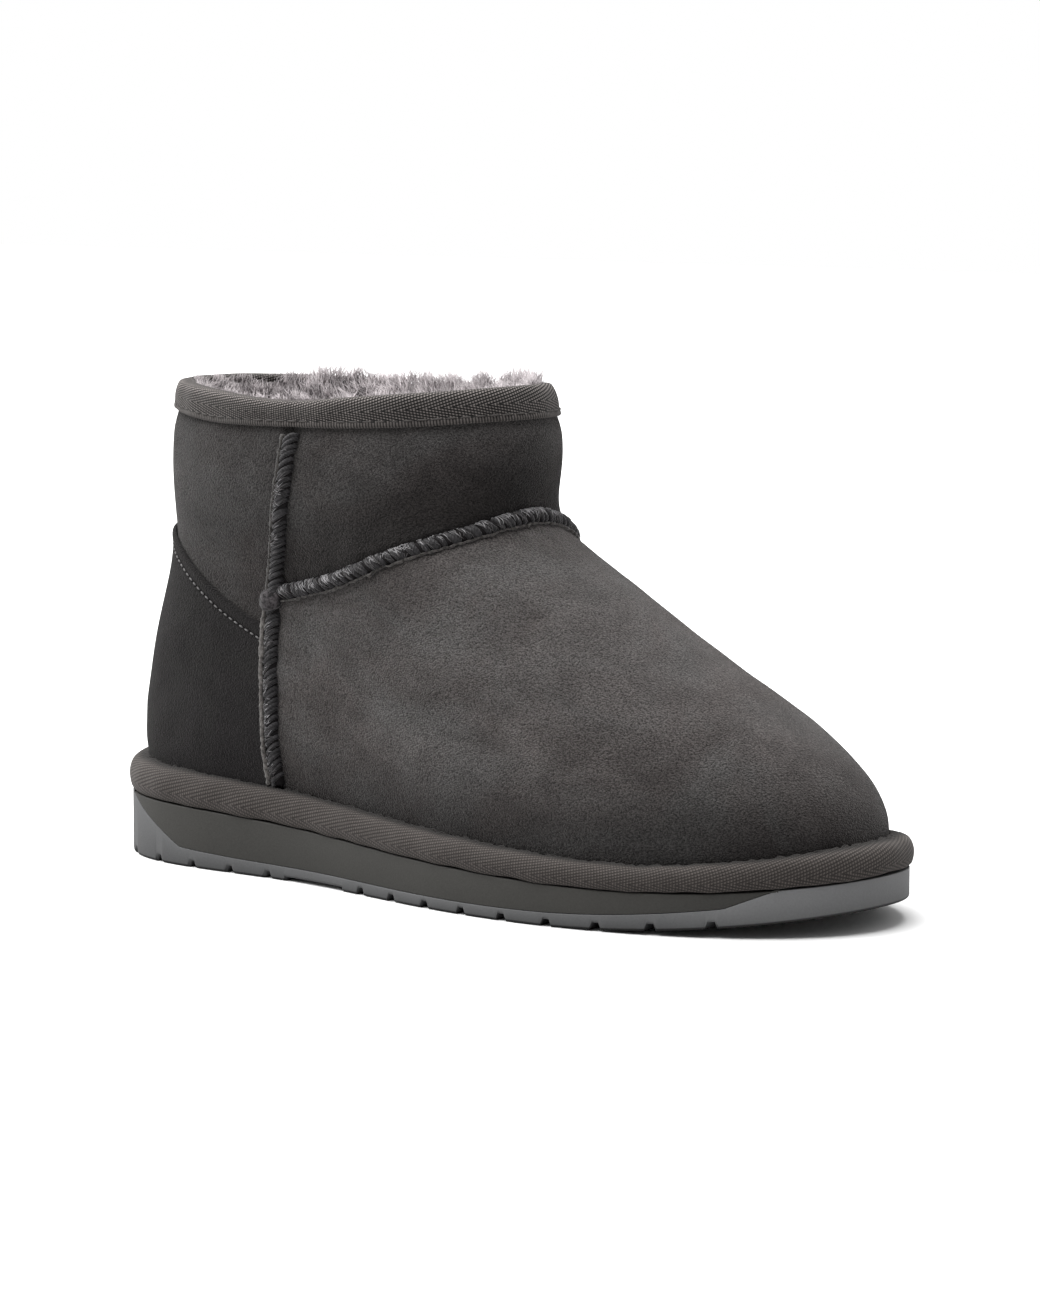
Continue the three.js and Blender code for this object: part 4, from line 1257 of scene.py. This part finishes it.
def lump(name, rise, angle, half, seed):
    """A knob of pinched suede: a ball stretched along the seam, across it and outwards, made uneven."""
    around, poles = np.linspace(0, 2 * np.pi, 25)[:-1], np.linspace(0.02, np.pi - 0.02, 16)
    turn, over = np.meshgrid(around, poles, indexing="ij")
    ball = np.stack([np.cos(over), np.sin(over) * np.cos(turn), np.sin(over) * np.sin(turn)], -1)
    out = skin_normal(rise, angle)
    up = np.array([0.12, 0.0, 0.99])
    across = np.cross(up, out)
    size = 1 + 0.13 * swell(ball * 3 + angle, 5, seed)
    ball = ball * size[..., None] * half
    middle = form(rise, angle, 0.9) - across * 0.7 * np.sign(angle)
    grid = middle + ball[..., :1] * up + ball[..., 1:2] * across + ball[..., 2:] * out
    return band(name, grid, ring=False)


KNOT_HALF = (3.4, 3.9, 3.5)   # along the seam, across it and outwards
KNOT_DROP = 0.018             # below the end of the instep seam, in rise
for side, name in ((1, "lateral"), (-1, "medial")):
    level = np.array(float(rise[0] if side > 0 else rise[-1]) - KNOT_DROP)
    knot_angle = np.array(side * float(side_seam_angle(level)))
    knot = lump(f"seam_knot_{name}", level, knot_angle, KNOT_HALF, 5)
    knot.data.materials.append(knot_finish.material)


# %% Top stitches
def stitches(name, path, out, step, half, wide, high, finish):
    """A row of stitches: small spindles, each a ring of points that narrows to both ends, at even steps
    along a path and lying on the surface."""
    way = lengths(path)
    centres = np.arange(step / 2, way[-1], step)
    ends = np.linspace(-1, 1, 6)
    places = (centres[:, None] + ends * half).ravel()
    body = along_path(places, way, path).reshape(len(centres), len(ends), 3)
    normal = along_path(centres, way, out)
    ahead = along_path(centres + half, way, path) - along_path(centres - half, way, path)
    side = unit(np.cross(ahead, normal))
    bulge = np.sqrt(np.clip(1.02 - ends ** 2, 0, 1))[None, :, None, None]
    turn = np.arange(6) * np.pi / 3
    sideways = side[:, None, None] * (wide * np.cos(turn))[:, None]
    upwards = normal[:, None, None] * (high * np.sin(turn))[:, None]
    points = body[:, :, None] + (sideways + upwards) * bulge
    rows, here = np.meshgrid(np.arange(len(ends) - 1), np.arange(6), indexing="ij")
    after = (here + 1) % 6
    walls = np.stack([rows * 6 + here, rows * 6 + after, rows * 6 + 6 + after, rows * 6 + 6 + here], -1)
    last = (len(ends) - 1) * 6
    caps = [(0, 3, 2, 1), (0, 5, 4, 3), (last, last + 1, last + 2, last + 3),
            (last, last + 3, last + 4, last + 5)]
    faces = np.concatenate([walls.reshape(-1, 4), caps])
    piece = build(name, points.reshape(-1, 3), repeated(faces, len(centres), len(ends) * 6))
    piece.data.materials.append(finish.material)


ROW_LEVEL = 0.93              # about where the row lies on the counter, from which its level is worked out
share = np.linspace(0.005, 0.995, 300)
row_rise, row_angle = counter_grid(share, np.full(share.shape, ROW_LEVEL))
edge_rise, edge_angle = counter_grid(share, np.ones(share.shape))
for _ in range(3):
    drop = np.linalg.norm(skin(edge_rise, edge_angle) - skin(row_rise, row_angle), axis=-1)
    level = 1 - (1 - ROW_LEVEL) * COUNTER_ROW[1] / drop
    row_rise, row_angle = counter_grid(share, level)
row_path = form(row_rise, row_angle, np.full(share.shape, GAP + COUNTER_LEATHER - 0.1))
stitches("counter_stitches", row_path, skin_normal(row_rise, row_angle), COUNTER_ROW[0], half=0.85,
         wide=0.3, high=0.3, finish=stitch_thread)

TAPE_ROW = (4.4, 1.8)         # the tape's stitches: from one to the next, and from its lower edge
TAPE_PROUD = 1.42             # the tape's face there
around = np.append(collar_angle, 2 * np.pi)
row_rise = np.full(around.shape, 1 - (TAPE_DROP - TAPE_ROW[1]) / COLLAR_RISE)
row_path = form(row_rise, around, np.full(around.shape, TAPE_PROUD - RIM_TUCK))
row_up = TAPE_ROW[1] - TAPE_DROP
row_path[:, 2] = COLLAR_HEIGHT + rim_lift(row_path[:, 0]) + row_up + tape_pinch(row_path[:, 0], row_up)
stitches("collar_stitches", row_path, skin_normal(row_rise, around), TAPE_ROW[0], half=1.7, wide=0.3,
         high=0.25, finish=tape_thread)

# %% [markdown]
# ## Fleece
#
# Inside is wool, about nine millimetres deep, pressed flat under the collar tape and springing up again
# past it. Real hair would be millions of strands. Here the wool's body is a closed band with a lumpy
# surface, and locks stand on it: small three-sided curls, each a few faces, that lean together in tufts.

# %% Lining
WOOL_DEPTH, ROOT_DEPTH = 9.6, 9.0     # from the skin to the wool's face, and to the roots of its locks
SWELL_DEPTH, SWELL_RISE = 1.4, 0.93   # it springs up by this much below the tape
RIM_PRESS, PRESS_RISE = 4.0, 0.955    # and is pressed by this much from here to the rim
RIM_FROM = 0.9                        # above this rise the wool's level follows the rim


def wool_depth(rise, depth):
    """Depth below the skin: a bell where the wool springs up below the tape, and less up to the rim."""
    springing = SWELL_DEPTH * np.exp(-((rise - SWELL_RISE) / 0.05) ** 2)
    return depth + springing - smooth(rise, PRESS_RISE, 1.0) * RIM_PRESS


lining_rise = np.concatenate([np.linspace(0.0, 0.9, 76), np.linspace(0.91, 1.0, 18)])
lining_angle = np.linspace(0, 2 * np.pi, 221)[:-1]
rise, angle = np.meshgrid(lining_rise, lining_angle, indexing="ij")
inside = form(rise, angle, -wool_depth(rise, WOOL_DEPTH))
lumps = 0.7 * swell(inside, 5.5, 51) + 0.5 * swell(inside, 11, 52)
inside += skin_normal(rise, angle) * lumps[..., None]
inside[..., 2] = np.where(rise > RIM_FROM, level_at(inside[..., 0], rise) - 1.5, inside[..., 2])
behind_rise = rise[::-1] * 0.99
behind = form(behind_rise, angle, -(HIDE + 0.9 + 3.2 * smooth(behind_rise, 0.86, 0.94)))
lining_tip = np.concatenate([0.35 + 0.25 * swell(inside, 5.5, 51), 0 * rise])
lining = band("fleece_lining", np.concatenate([inside[::-1], behind[::-1]]),
              marks={"tip": lining_tip, "lock": 0.4})
lining.data.materials.append(wool_finish.material)
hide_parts("upper")

# %% Footbed
INSOLE_HEIGHT = 7
BED_MIDDLE = table("x middle", (0, 40), (40, 45), (230, 225), (280, 230))     # where its edge closes in
bed_angle = np.linspace(0, 2 * np.pi, 241)[:-1]
bed_share = np.concatenate([[0.0, 0.003], np.linspace(0.03, 0.9, 28), np.linspace(0.92, 1, 4)])
share, angle = np.meshgrid(bed_share, bed_angle, indexing="ij")
rim = form(np.full(angle.shape, 0.03), angle, np.full(angle.shape, -(WALL + GAP + 1.0)))
middle_x = np.interp(rim[..., 0], BED_MIDDLE["x"], BED_MIDDLE["middle"])
middle = np.stack([middle_x, centre_line(rim[..., 0]), 0 * rim[..., 0]], -1)
top = middle * (1 - share[..., None]) + rim * share[..., None]
top[..., 2] = footbed(top[..., 0]) + GAP + INSOLE_HEIGHT * np.sqrt(np.clip(1 - share ** 10, 0.01, 1))
top[..., 2] += 0.6 * swell(top, 6, 61) * (1 - share ** 8)
base = top.copy()[::-1]
base[..., 2] = footbed(base[..., 0]) + GAP + 0.2
bed_grid = np.concatenate([top, base])
footbed_piece = band("fleece_footbed", bed_grid, marks={"tip": 0.5, "lock": 0.4})
footbed_piece.data.materials.append(wool_finish.material)
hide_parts("insole")


# %% Wool
CURL_RINGS = 2


def curls(name, root, direction, length, thickness, seed):
    """Locks of wool: each a three-sided tube that tapers to a point. Its middle line is a straight step
    along its direction plus a bend that grows with the square of the way, turned by a random curl."""
    draw = np.random.default_rng(seed)
    count = len(root)
    bend = draw.normal(size=(count, 3))
    bend = unit(bend - direction * np.einsum("ij,ij->i", bend, direction)[:, None])
    third = np.cross(direction, bend)
    t = np.linspace(0, 1, CURL_RINGS + 1)[None, :, None]
    curl = draw.uniform(0.15, 0.6, count)[:, None, None]
    spin = draw.uniform(0.5, 2.2, count)[:, None, None] * t * np.pi
    length = length[:, None, None]
    middle = root[:, None] + direction[:, None] * length * (t - 0.18 * curl * t * t)
    sway = bend[:, None] * np.sin(spin) + third[:, None] * (1 - np.cos(spin))
    middle = middle + length * curl * t * sway * 0.6
    size = thickness[:, None, None, None] * (1 - t[:, :-1, None] ** 2 * 0.55)
    turn = np.arange(3) * 2 * np.pi / 3
    arm = bend[:, None, None] * np.cos(turn)[:, None] + third[:, None, None] * np.sin(turn)[:, None]
    body = middle[:, :-1, None] + arm * size
    points = np.concatenate([body.reshape(count, -1, 3), middle[:, -1:]], axis=1)
    last = (CURL_RINGS - 1) * 3
    point = [(last + k, last + (k + 1) % 3, last + 3) for k in range(3)]
    stride = points.shape[1]
    faces = repeated([(0, 2, 1), *triangle_walls(CURL_RINGS), *point], count, stride)
    tip = np.broadcast_to(np.append(np.repeat(np.arange(CURL_RINGS) / CURL_RINGS, 3), 1.0), (count, stride))
    lock = np.broadcast_to(draw.uniform(0, 1, count)[:, None], (count, stride))
    piece = build(name, points.reshape(-1, 3), faces, marks={"tip": tip * 0.7 + 0.3, "lock": lock})
    piece.data.materials.append(wool_finish.material)
    return piece


def tufts(root, size, seed):
    """A direction for each lock: soft unevenness in x, y and z, so that neighbours lean the same way."""
    return np.stack([swell(root, size, seed + k) for k in range(3)], -1)


def on_lining(rise, angle):
    """Roots just under the wool's face at given rises and angles, and its inward direction there."""
    inward = -skin_normal(rise, angle)
    root = skin(rise, angle) + inward * wool_depth(rise, ROOT_DEPTH)[:, None]
    root[:, 2] = np.where(rise > RIM_FROM, level_at(root[:, 0], rise) - 1.8, root[:, 2])
    return root, inward


RIM_LOCKS, WALL_LOCKS = 19000, 11000      # numbers of locks
UPWARD = np.array([0, 0, 1.0])
draw = np.random.default_rng(7)
rise = 1.0 - 0.085 * draw.uniform(0, 1, RIM_LOCKS) ** 1.3
even_way = np.linspace(0, collar_length, len(collar_angle) + 1)
angle = np.interp(draw.uniform(0, collar_length, RIM_LOCKS), even_way, np.append(collar_angle, 2 * np.pi))
root, inward = on_lining(rise, angle)
stand = smooth(rise, 0.93, 1.0)[:, None]
inner_side = smooth(-np.sin(angle), -0.2, 0.6) * smooth(skin(rise, angle)[:, 0], 24, 44)
standing = UPWARD * (0.35 + (1.1 + 0.9 * inner_side[:, None]) * stand)
scatter = 0.22 * draw.normal(size=(RIM_LOCKS, 3))
direction = unit(inward * (1.0 - 0.75 * stand) + standing + 0.6 * tufts(root, 8, 71) + scatter)
length = 3.4 + 5.0 * inner_side + 1.3 * swell(root, 11, 75) + draw.uniform(-0.8, 0.8, RIM_LOCKS)
thickness = draw.uniform(0.11, 0.22, RIM_LOCKS)
wool_rim = curls("wool_rim", root, direction, np.clip(length, 1.8, 11.0), thickness, 72)
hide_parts("upper")

rise = 0.93 - 0.88 * draw.uniform(0, 1, WALL_LOCKS)
angle = draw.uniform(0, 2 * np.pi, WALL_LOCKS)
root, inward = on_lining(rise, angle)
scatter = 0.3 * draw.normal(size=(WALL_LOCKS, 3))
direction = unit(inward + 0.25 * UPWARD + 0.8 * tufts(root, 10, 81) + scatter)
length = draw.uniform(2.5, 5.0, WALL_LOCKS)
thickness = draw.uniform(0.3, 0.5, WALL_LOCKS)
wool_wall = curls("wool_wall", root, direction, length, thickness, 82)
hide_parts("upper")
